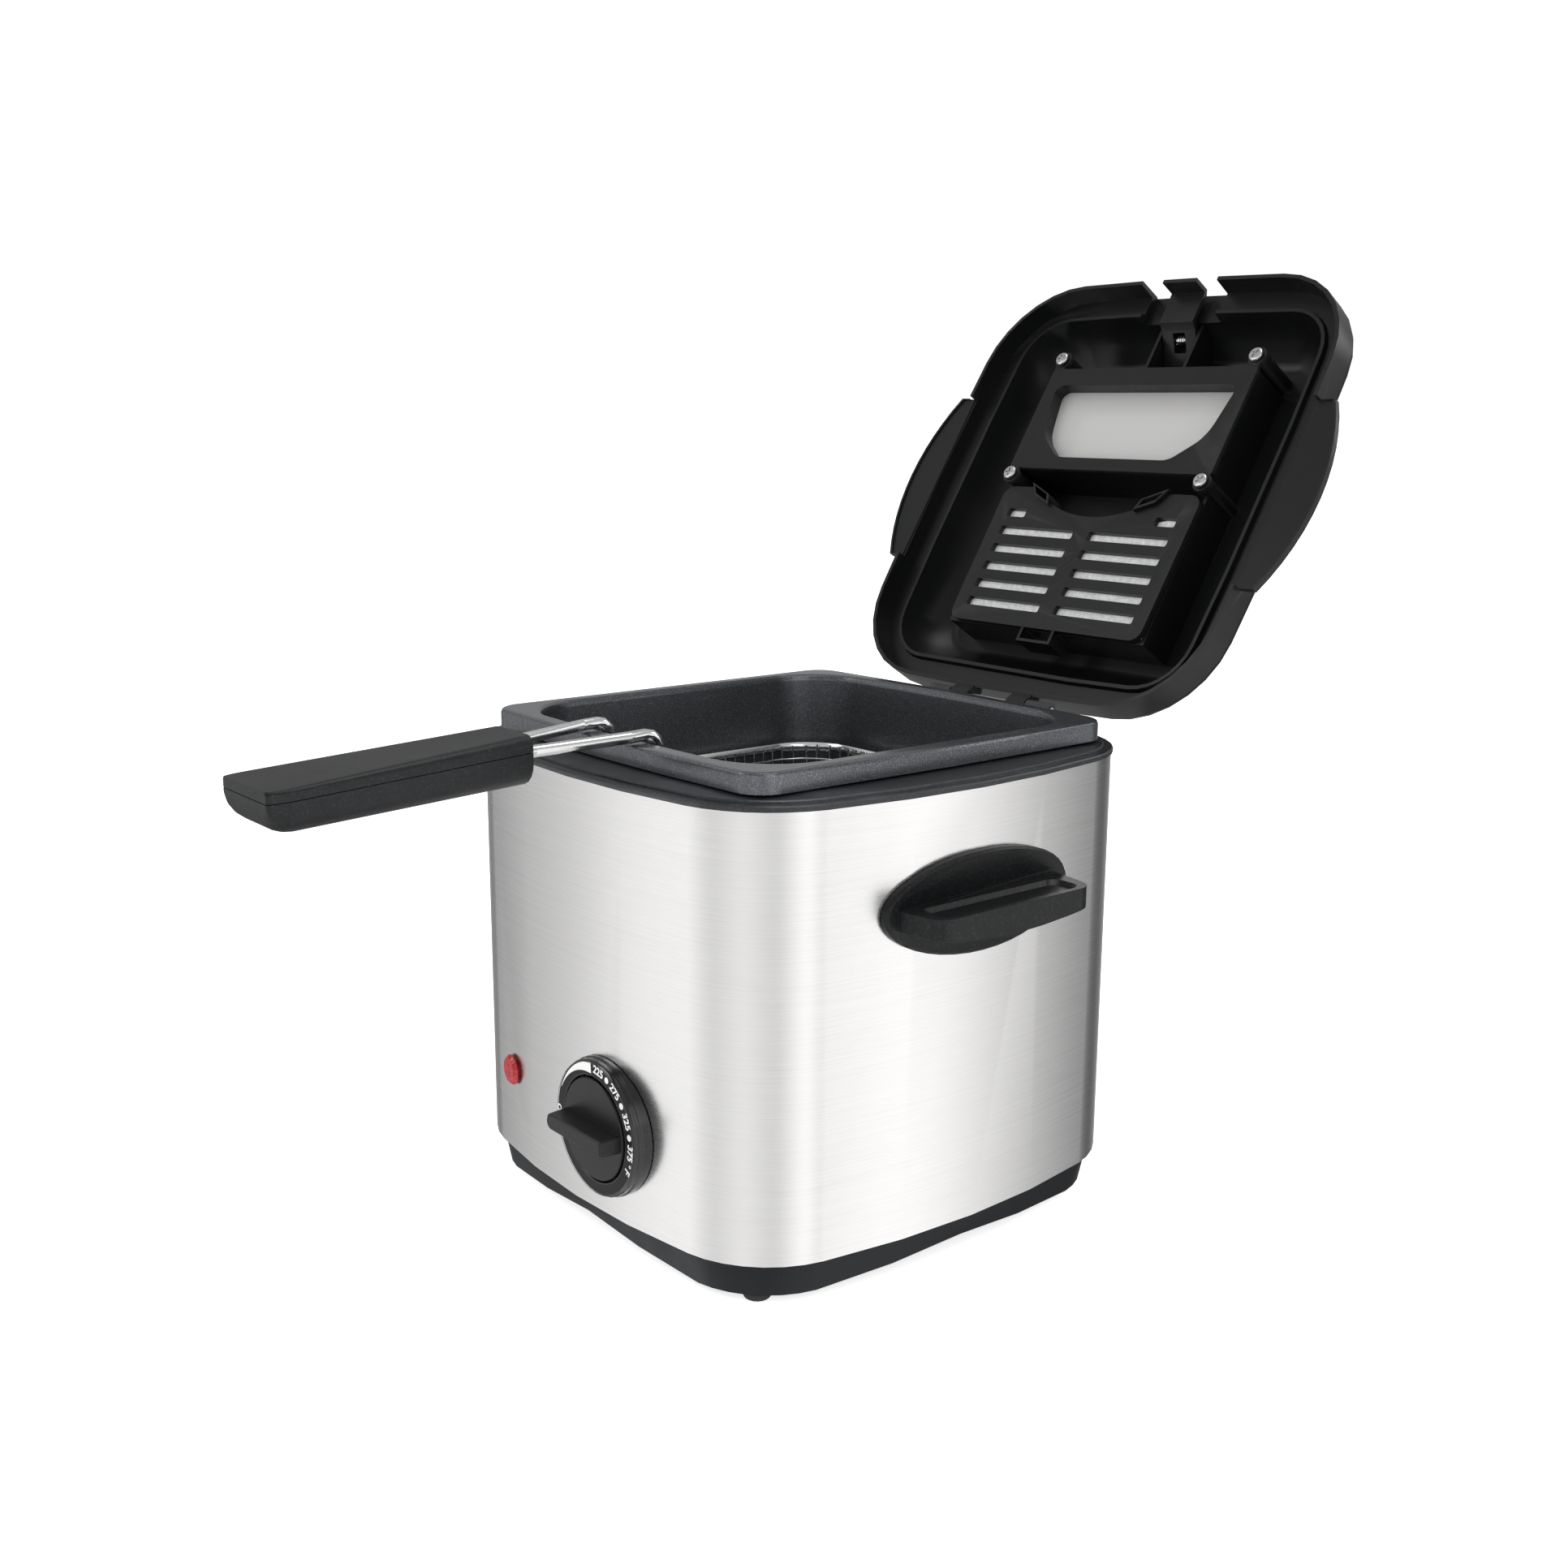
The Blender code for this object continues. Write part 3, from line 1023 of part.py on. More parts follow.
def make_filter():
    """Slotted cover with an arched front, two squeeze loops and a rear clip, and the pad above it."""
    low = cover_low()
    top = low + COVER_THICK
    x = HOUSING_HALF_X - 0.0004
    rear = HOUSING_REAR - 0.0002
    front = FILTER_FRONT - 0.0030
    corners = [(x, front), (x - 0.0010, rear), (-x + 0.0010, rear), (-x, front)]
    cover = prism("filter_cover", rounded(corners, [0.0060, 0.0060, 0.0060, 0.0060], 4), low, top, "plastic")
    bow = circle(0.0640, 64, (0.0, front - 0.0495))
    cut(cover, prism("cut_bow", bow, low - 0.01, top + 0.01, "plastic"))
    for row in range(COVER_SLOTS):
        y = 0.0248 + row * COVER_PITCH
        for side in (-1, 1):
            xs = sorted((side * 0.0048, side * 0.0525))
            slot = rounded([(xs[0], y - 0.0023), (xs[1], y - 0.0023), (xs[1], y + 0.0023),
                            (xs[0], y + 0.0023)], 0.0009, 2)
            cut(cover, prism(f"cut_slot_{row}_{side}", slot, low - 0.01, top + 0.01, "plastic"))
    for side in (-1, 1):
        xs = sorted((side * 0.0405, side * 0.0525))
        slot = rounded([(xs[0], 0.0125), (xs[1], 0.0125), (xs[1], 0.0171), (xs[0], 0.0171)], 0.0009, 2)
        cut(cover, prism(f"cut_short_{side}", slot, low - 0.01, top + 0.01, "plastic"))
        loop = [(side * 0.0425, -0.0015), (side * 0.0290, 0.0045), (side * 0.0265, 0.0105),
                (side * 0.0375, 0.0060)]
        hole = [(side * 0.0402, 0.0003), (side * 0.0302, 0.0047), (side * 0.0288, 0.0083),
                (side * 0.0375, 0.0044)]
        join(cover, prism(f"loop_{side}", loop, low - 0.0022, top + 0.0060, "plastic"))
        cut(cover, prism(f"cut_loop_{side}", hole, low - 0.01, top + 0.01, "plastic"))
    clip = block("clip", (-0.0105, rear - 0.0030, low + 0.0002), (0.0105, rear + 0.0072, top + 0.0100))
    clip_gap = block("cut_clip", (-0.0090, rear - 0.0010, low - 0.01), (0.0090, rear + 0.0058, top + 0.02))
    behind = block("cut_clip_front", (-0.02, rear - 0.01, top), (0.02, rear + 0.0010, top + 0.02))
    cut(clip, clip_gap, behind)
    join(cover, clip)
    pad_low = top + GAP
    half = HOUSING_HALF_X - HOUSING_WALL - 0.0008
    back = rear - HOUSING_WALL - 0.0012
    plan = [(half, FILTER_FRONT + 0.0060), (half, back), (-half, back), (-half, FILTER_FRONT + 0.0060),
            (-0.0360, FILTER_FRONT + 0.0115), (0.0, FILTER_FRONT + 0.0180), (0.0360, FILTER_FRONT + 0.0115)]
    pad = prism("filter_pad", plan, pad_low, pad_low + FILTER_THICK, "filter")
    return cover, pad


def make_latch():
    """Lever in the lid's front: the tab between the wire slots, an arm, and the button through the dome."""
    base = LID_RIM_Z
    front = LID_SHIFT - LID["half_y"]
    y, z = LATCH_Y, latch_z()
    top = base + LID_CEILING + LID_WALL
    tab = [(front, base + 0.0003), (front + 0.0020, base + 0.0003), (front + 0.0020, base + 0.0092),
           (y - 0.0040, base + 0.0096),
           (y - 0.0020, base + 0.0135), (y + 0.0035, base + 0.0195), (y + 0.0140, base + 0.0280), (y + 0.0140,
               top + 0.0012),
           (y + 0.0060, top + 0.0012), (y + 0.0060, base + 0.0300), (y - 0.0013, base + 0.0225), (y - 0.0025,
               base + 0.0165),
           (y - 0.0060, base + 0.0118), (front + 0.0030, base + 0.0118), (front, base + 0.0100)]
    lever = prism("lid_latch", tab, -SLOT_INNER + 0.0004, SLOT_INNER - 0.0004, "plastic", axis="x")
    cut(lever,
        turned("cut_lever_pin", [(0.0012 + RUN, -0.02), (0.0012 + RUN, 0.02)], (0, y, z), (1, 0, 0),
               "plastic", 12))
    room = block("cut_spring_room", (-0.0036, y - 0.0060, z - 0.0046), (0.0036, y + 0.0060, z + 0.0048))
    cut(lever, room)
    pin = turned("latch_pin", [(0.0012, -0.0112), (0.0012, 0.0112)], (0, y, z), (1, 0, 0), "bright_steel", 12)
    turns, pitch, coil = 3.0, 0.0016, 0.0021
    steps = int(turns * 10)
    helix = []
    for i in range(steps + 1):
        t = 2 * math.pi * turns * i / steps
        helix.append(((i / steps - 0.5) * turns * pitch, y + coil * math.cos(t), z + coil * math.sin(t)))
    spring = tube("latch_spring", helix, 0.0004, "bright_steel", 5)
    return lever, pin, spring


def make_lid():
    lid_pivot = pivot("lid_axis", (0, HINGE_Y, HINGE_Z), -LID_OPEN_DEG)
    shell = make_lid_shell()
    window = make_window()
    cover, pad = make_filter()
    lever, pin, spring = make_latch()
    owned = [shell, *window, cover, pad, lever, pin, spring]
    tools = {tool for obj in owned for tool in tools_of(obj)}
    parent_to(lid_pivot, *owned, *sorted(tools, key=lambda tool: tool.name))


def tools_of(obj):
    """Every Boolean tool that an object uses, and their own tools."""
    found = []
    for modifier in obj.modifiers:
        found.append(modifier.object)
        found += tools_of(modifier.object)
    return found


# ---------------------------------------------------------------- basket


def basket_outline(depth, grow=0.0):
    drawn = BASKET_TAPER * depth / BASKET_DEPTH + RIM_WIRE + GAP
    half_x, half_y = BASKET_X - drawn + grow, BASKET_Y - drawn + grow
    return dict(half_x=half_x, half_y=half_y, corner=BASKET_CORNER - drawn + grow, bow_x=2.0, bow_y=2.0)


def make_basket():
    """The mesh basket as a thin open box, its rim wire, and the channel that holds the handle's sleeves."""
    top = BASKET_TOP + RIM_WIRE
    low = BASKET_TOP - BASKET_DEPTH
    w = BASKET_WALL
    rings = [
        ring(basket_outline(BASKET_DEPTH, -0.006), low),
        ring(basket_outline(BASKET_DEPTH), low + 0.006),
        ring(basket_outline(0), top),
        ring(basket_outline(0, -w), top),
        ring(basket_outline(BASKET_DEPTH, -w), low + 0.006 + w / 2),
        ring(basket_outline(BASKET_DEPTH, -0.006 - w), low + w),
    ]
    loft("wire_basket", rings, "bright_steel")
    rim = dict(half_x=BASKET_X, half_y=BASKET_Y, corner=BASKET_CORNER, bow_x=2.0, bow_y=2.0)
    tube("basket_rim", ring(rim, BASKET_TOP), RIM_WIRE, "bright_steel", 6, closed=True)
    bracket_top = BASKET_TOP - RIM_WIRE - 0.0030
    bracket_low = bracket_top - 0.0280
    front = HANDLE_DROP_Y + HANDLE_WIRE + 0.0002
    back = -basket_outline(0)["half_y"] - GAP
    half = HANDLE_X + 0.0060
    plan = [(-half, back), (-half, front), (half, front), (half, back), (half - 0.0014, back),
            (half - 0.0014, front + 0.0014),
            (-half + 0.0014, front + 0.0014), (-half + 0.0014, back)]
    bracket = prism("handle_bracket", plan, bracket_low, bracket_top, "bright_steel")
    for side in (-1, 1):
        outer = [(HANDLE_WIRE + 0.0015, bracket_low), (HANDLE_WIRE + 0.0015, bracket_top - 0.0010)]
        sleeve = turned(f"sleeve_{side}", outer, (side * HANDLE_X, HANDLE_DROP_Y, 0), (0, 0, 1),
                        "bright_steel", 14)
        join(bracket, sleeve)
    for side in (-1, 1):
        bore = [(HANDLE_WIRE + GAP, bracket_low - 0.01), (HANDLE_WIRE + GAP, bracket_top + 0.01)]
        cut(bracket,
            turned(f"cut_sleeve_{side}", bore, (side * HANDLE_X, HANDLE_DROP_Y, 0), (0, 0, 1), "bright_steel",
                   14))
    return bracket_low


def handle_height(y):
    """Height of the handle wire's centre over the rim and out to the grip, falling gently outwards."""
    over_rim = Z_RIM + HANDLE_WIRE + 0.0005
    return over_rim + (y + 0.0920) * math.tan(math.radians(GRIP_TILT_DEG))


def handle_path(bracket_low):
    """One wire: up from the right sleeve, over the rim, along the grip, round its end and back."""
    turn_y = -0.0860
    end_y = GRIP_START - GRIP_LENGTH + 0.0300
    half = [
        (HANDLE_X, HANDLE_DROP_Y, bracket_low + 0.0010),
        (HANDLE_X, HANDLE_DROP_Y, Z_RIM - 0.0250),
        (HANDLE_X, turn_y + 0.0020, handle_height(turn_y)),
        (HANDLE_X, -0.0960, handle_height(-0.0960)),
        (HANDLE_TIP_X, GRIP_START + 0.0030, handle_height(GRIP_START + 0.0030)),
        (HANDLE_TIP_X, end_y, handle_height(end_y)),
    ]
    other = [(-x, y, z) for x, y, z in reversed(half)]
    return bent(half + other, [0.020, 0.0060, 0.012, 0.012, 0.0100, 0.0100, 0.012, 0.012, 0.0060, 0.020], 3)


def grip_section(y, half, rise, corner, sign):
    """One half of the grip's section, from one parting edge round to the other."""
    z = handle_height(y) + PARTING_RISE + sign * GAP / 2
    points = [(half, 0.0), (half, sign * rise), (-half, sign * rise), (-half, 0.0)]
    path = rounded(points, [0, corner, corner, 0], 5)
    return [(x, y, z + dz) for x, dz in path]


def make_handle(bracket_low):
    path = handle_path(bracket_low)
    tube("handle_wire", path, HANDLE_WIRE, "bright_steel", 10)
    stations = 9
    for sign, name, rise, taper in ((1, "grip_upper", 0.0062, 0.0021), (-1, "grip_lower", 0.0132, 0.0009)):
        rings = [grip_section(GRIP_START + 0.0006, 0.0136, rise - 0.0010, 0.0040 if sign > 0 else 0.0080,
                              sign)]
        for i in range(stations):
            t = i / (stations - 1)
            y = GRIP_START - t * (GRIP_LENGTH - 0.0110)
            half = 0.0150 + 0.0052 * t
            rings.append(grip_section(y, half, rise - taper * t,
                                      0.0042 * (1 - 0.6 * t) if sign > 0 else 0.0095, sign))
        for i in range(1, 6):
            t = i / 5 * math.pi / 2
            y = GRIP_START - GRIP_LENGTH + 0.0110 * (1 - math.sin(t))
            full = rise - taper if sign > 0 else (rise - taper) * (0.25 + 0.75 * math.cos(t))
            half = 0.0202 - 0.0020 * (1 - math.cos(t))
            rings.append(grip_section(y, half, full, 0.0016 if sign > 0 else min(0.0095, full * 0.8), sign))
        grip = loft(name, rings, "textured")
        buried = [point for point in path if point[1] < GRIP_START + 0.0060]
        cut(grip, tube(f"cut_{name}", buried, HANDLE_WIRE + GAP, "textured", 10))
    y = GRIP_START - GRIP_LENGTH + 0.0200
    z = handle_height(y)
    hole = [(0.0019, -0.02), (0.0019, 0.0032)]
    cut(bpy.data.objects["grip_lower"], turned("cut_grip_screw", hole, (0, y, z), (0, 0, 1), "textured", 12))
    cut(bpy.data.objects["grip_upper"],
        turned("cut_grip_screw_top", hole, (0, y, z), (0, 0, 1), "textured", 12))
    for name in ("grip_upper", "grip_lower"):
        for modifier in bpy.data.objects[name].modifiers:
            modifier.solver = "MANIFOLD"
    turned("grip_screw", [(0.0016, -0.0090), (0.0016, 0.0028)], (0, y, z), (0, 0, 1), "bright_steel", 12)


def main():
    for obj in list(bpy.data.objects):
        bpy.data.objects.remove(obj)
    make_sleeve()
    floor_low, _ = make_base()
    make_feet_and_bolts(floor_low)
    make_collar()
    make_pot()
    bulb_y, bulb_z, terminal_z = make_heating()
    body_y = make_controls(bulb_y, bulb_z)
    inlet_back = make_inlet()
    make_leads(inlet_back, body_y, terminal_z)
    make_grip(-1, "side_grip_left")
    make_grip(1, "side_grip_right")
    make_lid()
    bracket_low = make_basket()
    make_handle(bracket_low)


main()
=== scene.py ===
import json
import math

import bpy
from mathutils import Matrix, Vector

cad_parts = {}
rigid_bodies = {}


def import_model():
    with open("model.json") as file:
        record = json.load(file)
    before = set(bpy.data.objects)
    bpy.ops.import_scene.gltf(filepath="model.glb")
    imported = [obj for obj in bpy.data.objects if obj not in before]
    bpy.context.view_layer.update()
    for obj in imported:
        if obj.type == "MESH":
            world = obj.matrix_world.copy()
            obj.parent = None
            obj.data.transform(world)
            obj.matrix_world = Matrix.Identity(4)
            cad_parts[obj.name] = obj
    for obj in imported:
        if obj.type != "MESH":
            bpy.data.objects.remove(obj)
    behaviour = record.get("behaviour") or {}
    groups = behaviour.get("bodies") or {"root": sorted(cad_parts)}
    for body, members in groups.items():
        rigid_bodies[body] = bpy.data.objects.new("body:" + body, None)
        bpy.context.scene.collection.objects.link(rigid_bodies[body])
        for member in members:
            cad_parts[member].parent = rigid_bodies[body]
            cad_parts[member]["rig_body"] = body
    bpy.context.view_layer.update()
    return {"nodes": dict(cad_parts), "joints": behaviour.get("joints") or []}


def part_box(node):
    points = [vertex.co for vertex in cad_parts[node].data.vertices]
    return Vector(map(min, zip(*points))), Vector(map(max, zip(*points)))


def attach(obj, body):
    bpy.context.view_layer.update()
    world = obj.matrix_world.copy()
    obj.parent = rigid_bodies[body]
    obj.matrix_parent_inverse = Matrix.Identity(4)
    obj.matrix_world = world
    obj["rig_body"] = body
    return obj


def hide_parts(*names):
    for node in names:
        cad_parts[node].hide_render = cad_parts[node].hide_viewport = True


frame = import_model()

# ---------------------------------------------------------------- base
# The base pan is one black polypropylene moulding with a satin, finely spark-eroded skin.
# Its corners stand on rubber feet, and four long bolts pull the collar, sleeve and base together.


def alone(piece):
    """Selects one object only, and makes it active."""
    bpy.ops.object.select_all(action="DESELECT")
    piece.select_set(True)
    bpy.context.view_layer.objects.active = piece


def apply_all(piece):
    """Makes all of the piece's modifiers part of its mesh."""
    alone(piece)
    for name in [m.name for m in piece.modifiers]:
        bpy.ops.object.modifier_apply(modifier=name)


def set_down(piece):
    """Puts the piece's place, turn and size into its mesh."""
    alone(piece)
    bpy.ops.object.transform_apply(location=True, rotation=True, scale=True)


def smooth(piece, sharp=32):
    """Shades the piece smooth, but for edges sharper than this many degrees."""
    alone(piece)
    bpy.ops.object.shade_smooth_by_angle(angle=math.radians(sharp))


WELD, FLAT_DEG = 0.000005, 1.5  # corners this near are one; faces this level are one


def moulding(node, finish, rounding=0.0004, segments=2, sharp=32, name=None):
    """The node's own shape, welded into whole faces, with its edges rounded as a mould rounds them."""
    source = frame["nodes"][node]
    piece = bpy.data.objects.new(name or node + "_moulding", source.data.copy())
    bpy.context.scene.collection.objects.link(piece)
    alone(piece)
    if piece.data.has_custom_normals:
        bpy.ops.mesh.customdata_custom_splitnormals_clear()
    bpy.ops.object.mode_set(mode="EDIT")
    bpy.ops.mesh.select_all(action="SELECT")
    bpy.ops.mesh.remove_doubles(threshold=WELD)
    bpy.ops.mesh.dissolve_limited(angle_limit=math.radians(FLAT_DEG))
    bpy.ops.mesh.select_all(action="SELECT")
    bpy.ops.mesh.mark_sharp(clear=True)
    bpy.ops.object.mode_set(mode="OBJECT")
    if rounding:
        edge = piece.modifiers.new("rounding", "BEVEL")
        edge.width, edge.segments = rounding, segments
        edge.limit_method, edge.angle_limit = "ANGLE", math.radians(sharp + 2)
        edge.use_clamp_overlap = True
        edge.miter_outer = "MITER_ARC"
    apply_all(piece)
    smooth(piece, sharp)
    even = piece.modifiers.new("even", "WEIGHTED_NORMAL")
    even.keep_sharp = True
    apply_all(piece)
    piece.data.materials.clear()
    piece.data.materials.append(finish)
    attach(piece, source["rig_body"])
    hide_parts(node)
    return piece


def dress(finish, *nodes):
    """Gives nodes whose shape is right their finish."""
    for node in nodes:
        mesh = frame["nodes"][node].data
        mesh.materials.clear()
        mesh.materials.append(finish)


def new_group(name, inputs, outputs):
    """An empty shader node group with named float inputs and outputs."""
    tree = bpy.data.node_groups.new(name, "ShaderNodeTree")
    for label, value in inputs:
        tree.interface.new_socket(label, in_out="INPUT", socket_type="NodeSocketFloat").default_value = value
    for label in outputs:
        tree.interface.new_socket(label, in_out="OUTPUT", socket_type="NodeSocketFloat")
    return tree, tree.nodes.new("NodeGroupInput"), tree.nodes.new("NodeGroupOutput")


def add(tree, kind, **values):
    """A shader node with its sockets set by name."""
    made = tree.nodes.new("ShaderNode" + kind)
    for label, value in values.items():
        made.inputs[label.replace("_", " ")].default_value = value
    return made


def maths(tree, operation, a, b):
    """One Math node; a and b are sockets or numbers."""
    made = tree.nodes.new("ShaderNodeMath")
    made.operation = operation
    for socket, value in zip(made.inputs, (a, b)):
        if isinstance(value, (int, float)):
            socket.default_value = value
        else:
            tree.links.new(value, socket)
    return made.outputs[0]


# Fine pits and specks of a textured mould or a sprayed coat
grain, take, give = new_group("Fine grain", [("Scale", 1500.0), ("Speck size", 0.55)],
                              ["Specks", "Height", "Drift"])
where = add(grain, "TexCoord").outputs["Object"]
fine = add(grain, "TexNoise", Detail=3.0, Roughness=0.6)
pits = add(grain, "TexVoronoi")
slow = add(grain, "TexNoise", Scale=9.0, Detail=2.0)
for texture in (fine, pits, slow):
    grain.links.new(where, texture.inputs["Vector"])
grain.links.new(take.outputs["Scale"], fine.inputs["Scale"])
grain.links.new(maths(grain, "MULTIPLY", take.outputs["Scale"], 0.7), pits.inputs["Scale"])
speck = add(grain, "MapRange", From_Max=0.75)
grain.links.new(fine.outputs[0], speck.inputs["Value"])
grain.links.new(take.outputs["Speck size"], speck.inputs["From Min"])
grain.links.new(speck.outputs[0], give.inputs["Specks"])
grain.links.new(maths(grain, "ADD", fine.outputs[0], pits.outputs["Distance"]), give.inputs["Height"])
grain.links.new(slow.outputs[0], give.inputs["Drift"])

# Edges that hands and cloths have rubbed brighter, in broken patches
rubbed, take, give = new_group("Rubbed edges", [("Amount", 0.5)], ["Edge"])
bend = rubbed.nodes.new("ShaderNodeNewGeometry").outputs["Pointiness"]
band = add(rubbed, "MapRange", From_Min=0.52, From_Max=0.60)
rubbed.links.new(bend, band.inputs["Value"])
patches = add(rubbed, "TexNoise", Scale=120.0, Detail=4.0)
rubbed.links.new(add(rubbed, "TexCoord").outputs["Object"], patches.inputs["Vector"])
edge = maths(rubbed, "MULTIPLY", band.outputs[0], patches.outputs[0])
rubbed.links.new(maths(rubbed, "MULTIPLY", edge, take.outputs["Amount"]), give.inputs["Edge"])


def place_group(tree, group, **values):
    """A node group put in a material, with its inputs set by name."""
    made = tree.nodes.new("ShaderNodeGroup")
    made.node_tree = group
    for label, value in values.items():
        made.inputs[label.replace("_", " ")].default_value = value
    return made


def blended(tree, factor, first, second):
    """A colour between two, by a factor socket. Each is a colour or a socket."""
    made = tree.nodes.new("ShaderNodeMix")
    made.data_type = "RGBA"
    tree.links.new(factor, made.inputs[0])
    for socket, value in ((made.inputs[6], first), (made.inputs[7], second)):
        if isinstance(value, tuple):
            socket.default_value = (*value, 1.0)
        else:
            tree.links.new(value, socket)
    return made.outputs[2]


def moulded(name, dark, light, roughness, scale, speck_size=0.55, depth=0.00002, wear=0.5, coat=0.0,
            metallic=0.0, shine=0.5):
    """A grained finish: light specks over a dark colour, brighter rubbed edges, and fine relief."""
    made = bpy.data.materials.new(name)
    made.use_nodes = True
    tree = made.node_tree
    shader = tree.nodes["Principled BSDF"]
    shader.inputs["Metallic"].default_value = metallic
    shader.inputs["Coat Weight"].default_value = coat
    shader.inputs["Specular IOR Level"].default_value = shine
    shader.inputs["Coat Roughness"].default_value = 0.12
    specks = place_group(tree, grain, Scale=scale, Speck_size=speck_size)
    worn = place_group(tree, rubbed, Amount=wear)
    body = blended(tree, specks.outputs["Specks"], dark, light)
    lifted = tuple(min(1.0, channel * 2.2 + 0.03) for channel in light)
    tree.links.new(blended(tree, worn.outputs["Edge"], body, lifted), shader.inputs["Base Color"])
    spread = add(tree, "MapRange", From_Min=0.3, From_Max=0.7, To_Min=roughness - 0.05,
                 To_Max=roughness + 0.06)
    tree.links.new(specks.outputs["Drift"], spread.inputs["Value"])
    tree.links.new(spread.outputs[0], shader.inputs["Roughness"])
    relief = add(tree, "Bump", Strength=0.6, Distance=depth)
    tree.links.new(specks.outputs["Height"], relief.inputs["Height"])
    tree.links.new(relief.outputs[0], shader.inputs["Normal"])
    return made


satin_black = moulded("Satin black moulding", (0.0040, 0.0042, 0.0046), (0.0080, 0.0083, 0.0092), 0.34,
                      1400.0, depth=0.000008, shine=0.26)
base_black = moulded("Base black moulding", (0.005, 0.006, 0.0075), (0.009, 0.011, 0.013), 0.36, 1300.0,
                     depth=0.00002, shine=0.2)
foot_rubber = moulded("Black rubber", (0.012, 0.012, 0.012), (0.02, 0.02, 0.02), 0.75, 900.0, depth=0.00003,
                      wear=0.2)
zinc = moulded("Zinc plate", (0.50, 0.50, 0.49), (0.72, 0.72, 0.70), 0.28, 900.0, depth=0.000006,
               metallic=1.0)
moulding("base_pan", base_black, 0.0007, 3, 30)
for number in range(1, 5):
    moulding(f"foot_{number}", foot_rubber, 0.0005, 2, 30)
    dress(zinc, f"tie_bolt_{number}")

# ---------------------------------------------------------------- sleeve
# The sleeve is one sheet of stainless steel, brushed along its length and wrapped round the body,
# so that its fine lines run level on every side. It is held in the grooves of base and collar.

brushing, take, give = new_group("Level brushing", [("Fineness", 1.0)], ["Streaks", "Fine streaks", "Clouds"])
where = add(brushing, "TexCoord").outputs["Object"]
LAYERS = (("Streaks", (9.0, 9.0, 2600.0), 3.0), ("Fine streaks", (22.0, 22.0, 7000.0), 2.0),
          ("Clouds", (5.0, 5.0, 7.0), 1.5))
for label, stretch, detail in LAYERS:
    placed = brushing.nodes.new("ShaderNodeMapping")
    placed.inputs["Scale"].default_value = stretch
    brushing.links.new(where, placed.inputs["Vector"])
    lines = add(brushing, "TexNoise", Detail=detail, Roughness=0.55)
    brushing.links.new(take.outputs["Fineness"], lines.inputs["Scale"])
    brushing.links.new(placed.outputs[0], lines.inputs["Vector"])
    brushing.links.new(lines.outputs[0], give.inputs[label])


def brushed(name, dark, light, low_rough, high_rough, depth):
    """Brushed metal whose tone, roughness and relief all follow the same level lines."""
    made = bpy.data.materials.new(name)
    made.use_nodes = True
    tree = made.node_tree
    shader = tree.nodes["Principled BSDF"]
    shader.inputs["Metallic"].default_value = 1.0
    lines = place_group(tree, brushing)
    broad = maths(tree, "MULTIPLY", lines.outputs["Streaks"], 0.45)
    fine = maths(tree, "MULTIPLY", lines.outputs["Fine streaks"], 0.55)
    both = maths(tree, "ADD", broad, fine)
    tone = add(tree, "MapRange", From_Min=0.34, From_Max=0.66)
    tree.links.new(both, tone.inputs["Value"])
    worn = place_group(tree, rubbed, Amount=0.4)
    body = blended(tree, tone.outputs[0], dark, light)
    tree.links.new(blended(tree, worn.outputs["Edge"], body, (0.9, 0.9, 0.89)), shader.inputs["Base Color"])
    rough = add(tree, "MapRange", From_Min=0.3, From_Max=0.7, To_Min=low_rough, To_Max=high_rough)
    most = maths(tree, "MULTIPLY", both, 0.85)
    rest = maths(tree, "MULTIPLY", lines.outputs["Clouds"], 0.15)
    tree.links.new(maths(tree, "ADD", most, rest), rough.inputs["Value"])
    tree.links.new(rough.outputs[0], shader.inputs["Roughness"])
    relief = add(tree, "Bump", Strength=0.2, Distance=depth)
    tree.links.new(both, relief.inputs["Height"])
    tree.links.new(relief.outputs[0], shader.inputs["Normal"])
    return made


sleeve_steel = brushed("Level-brushed stainless sheet", (0.655, 0.647, 0.642), (0.735, 0.727, 0.721), 0.22,
                       0.29, 0.000004)
plain_steel = brushed("Plain steel sheet", (0.42, 0.42, 0.42), (0.58, 0.58, 0.58), 0.35, 0.5, 0.00001)
moulding("outer_sleeve", sleeve_steel, 0.0002, 2, 30)

# ---------------------------------------------------------------- collar
# The collar is a black nylon ring that carries the pot, the hinge knuckles and the sleeve's top edge.
# Its rounded lip is finely speckled; a zinc-plated pin runs through the hinge.

collar_black = moulded("Speckled collar moulding", (0.006, 0.007, 0.0085), (0.032, 0.036, 0.041), 0.38,
                       1100.0, 0.52, 0.00003)
moulding("top_collar", collar_black, 0.0005, 3, 30)
dress(zinc, "hinge_pin")

# ---------------------------------------------------------------- oil pot
# The pot is drawn from aluminium sheet, with a rolled outer rim, and sprayed inside and out with a
# grey-flecked non-stick coat that is glossier than plastic and slightly pebbled.

pot_coat = moulded("Flecked non-stick coat", (0.070, 0.074, 0.081), (0.240, 0.250, 0.268), 0.27, 2000.0, 0.50,
                   0.000016, 0.4, 0.2, 0.75)
moulding("oil_pot", pot_coat, 0.0012, 4, 28)

# ---------------------------------------------------------------- heater and wiring
# Under the pot lie the cast spreader, the tubular element, its strap and nut, and the cut-out fuse.
# The thermostat feels the spreader through a copper capillary; three insulated leads join the parts.

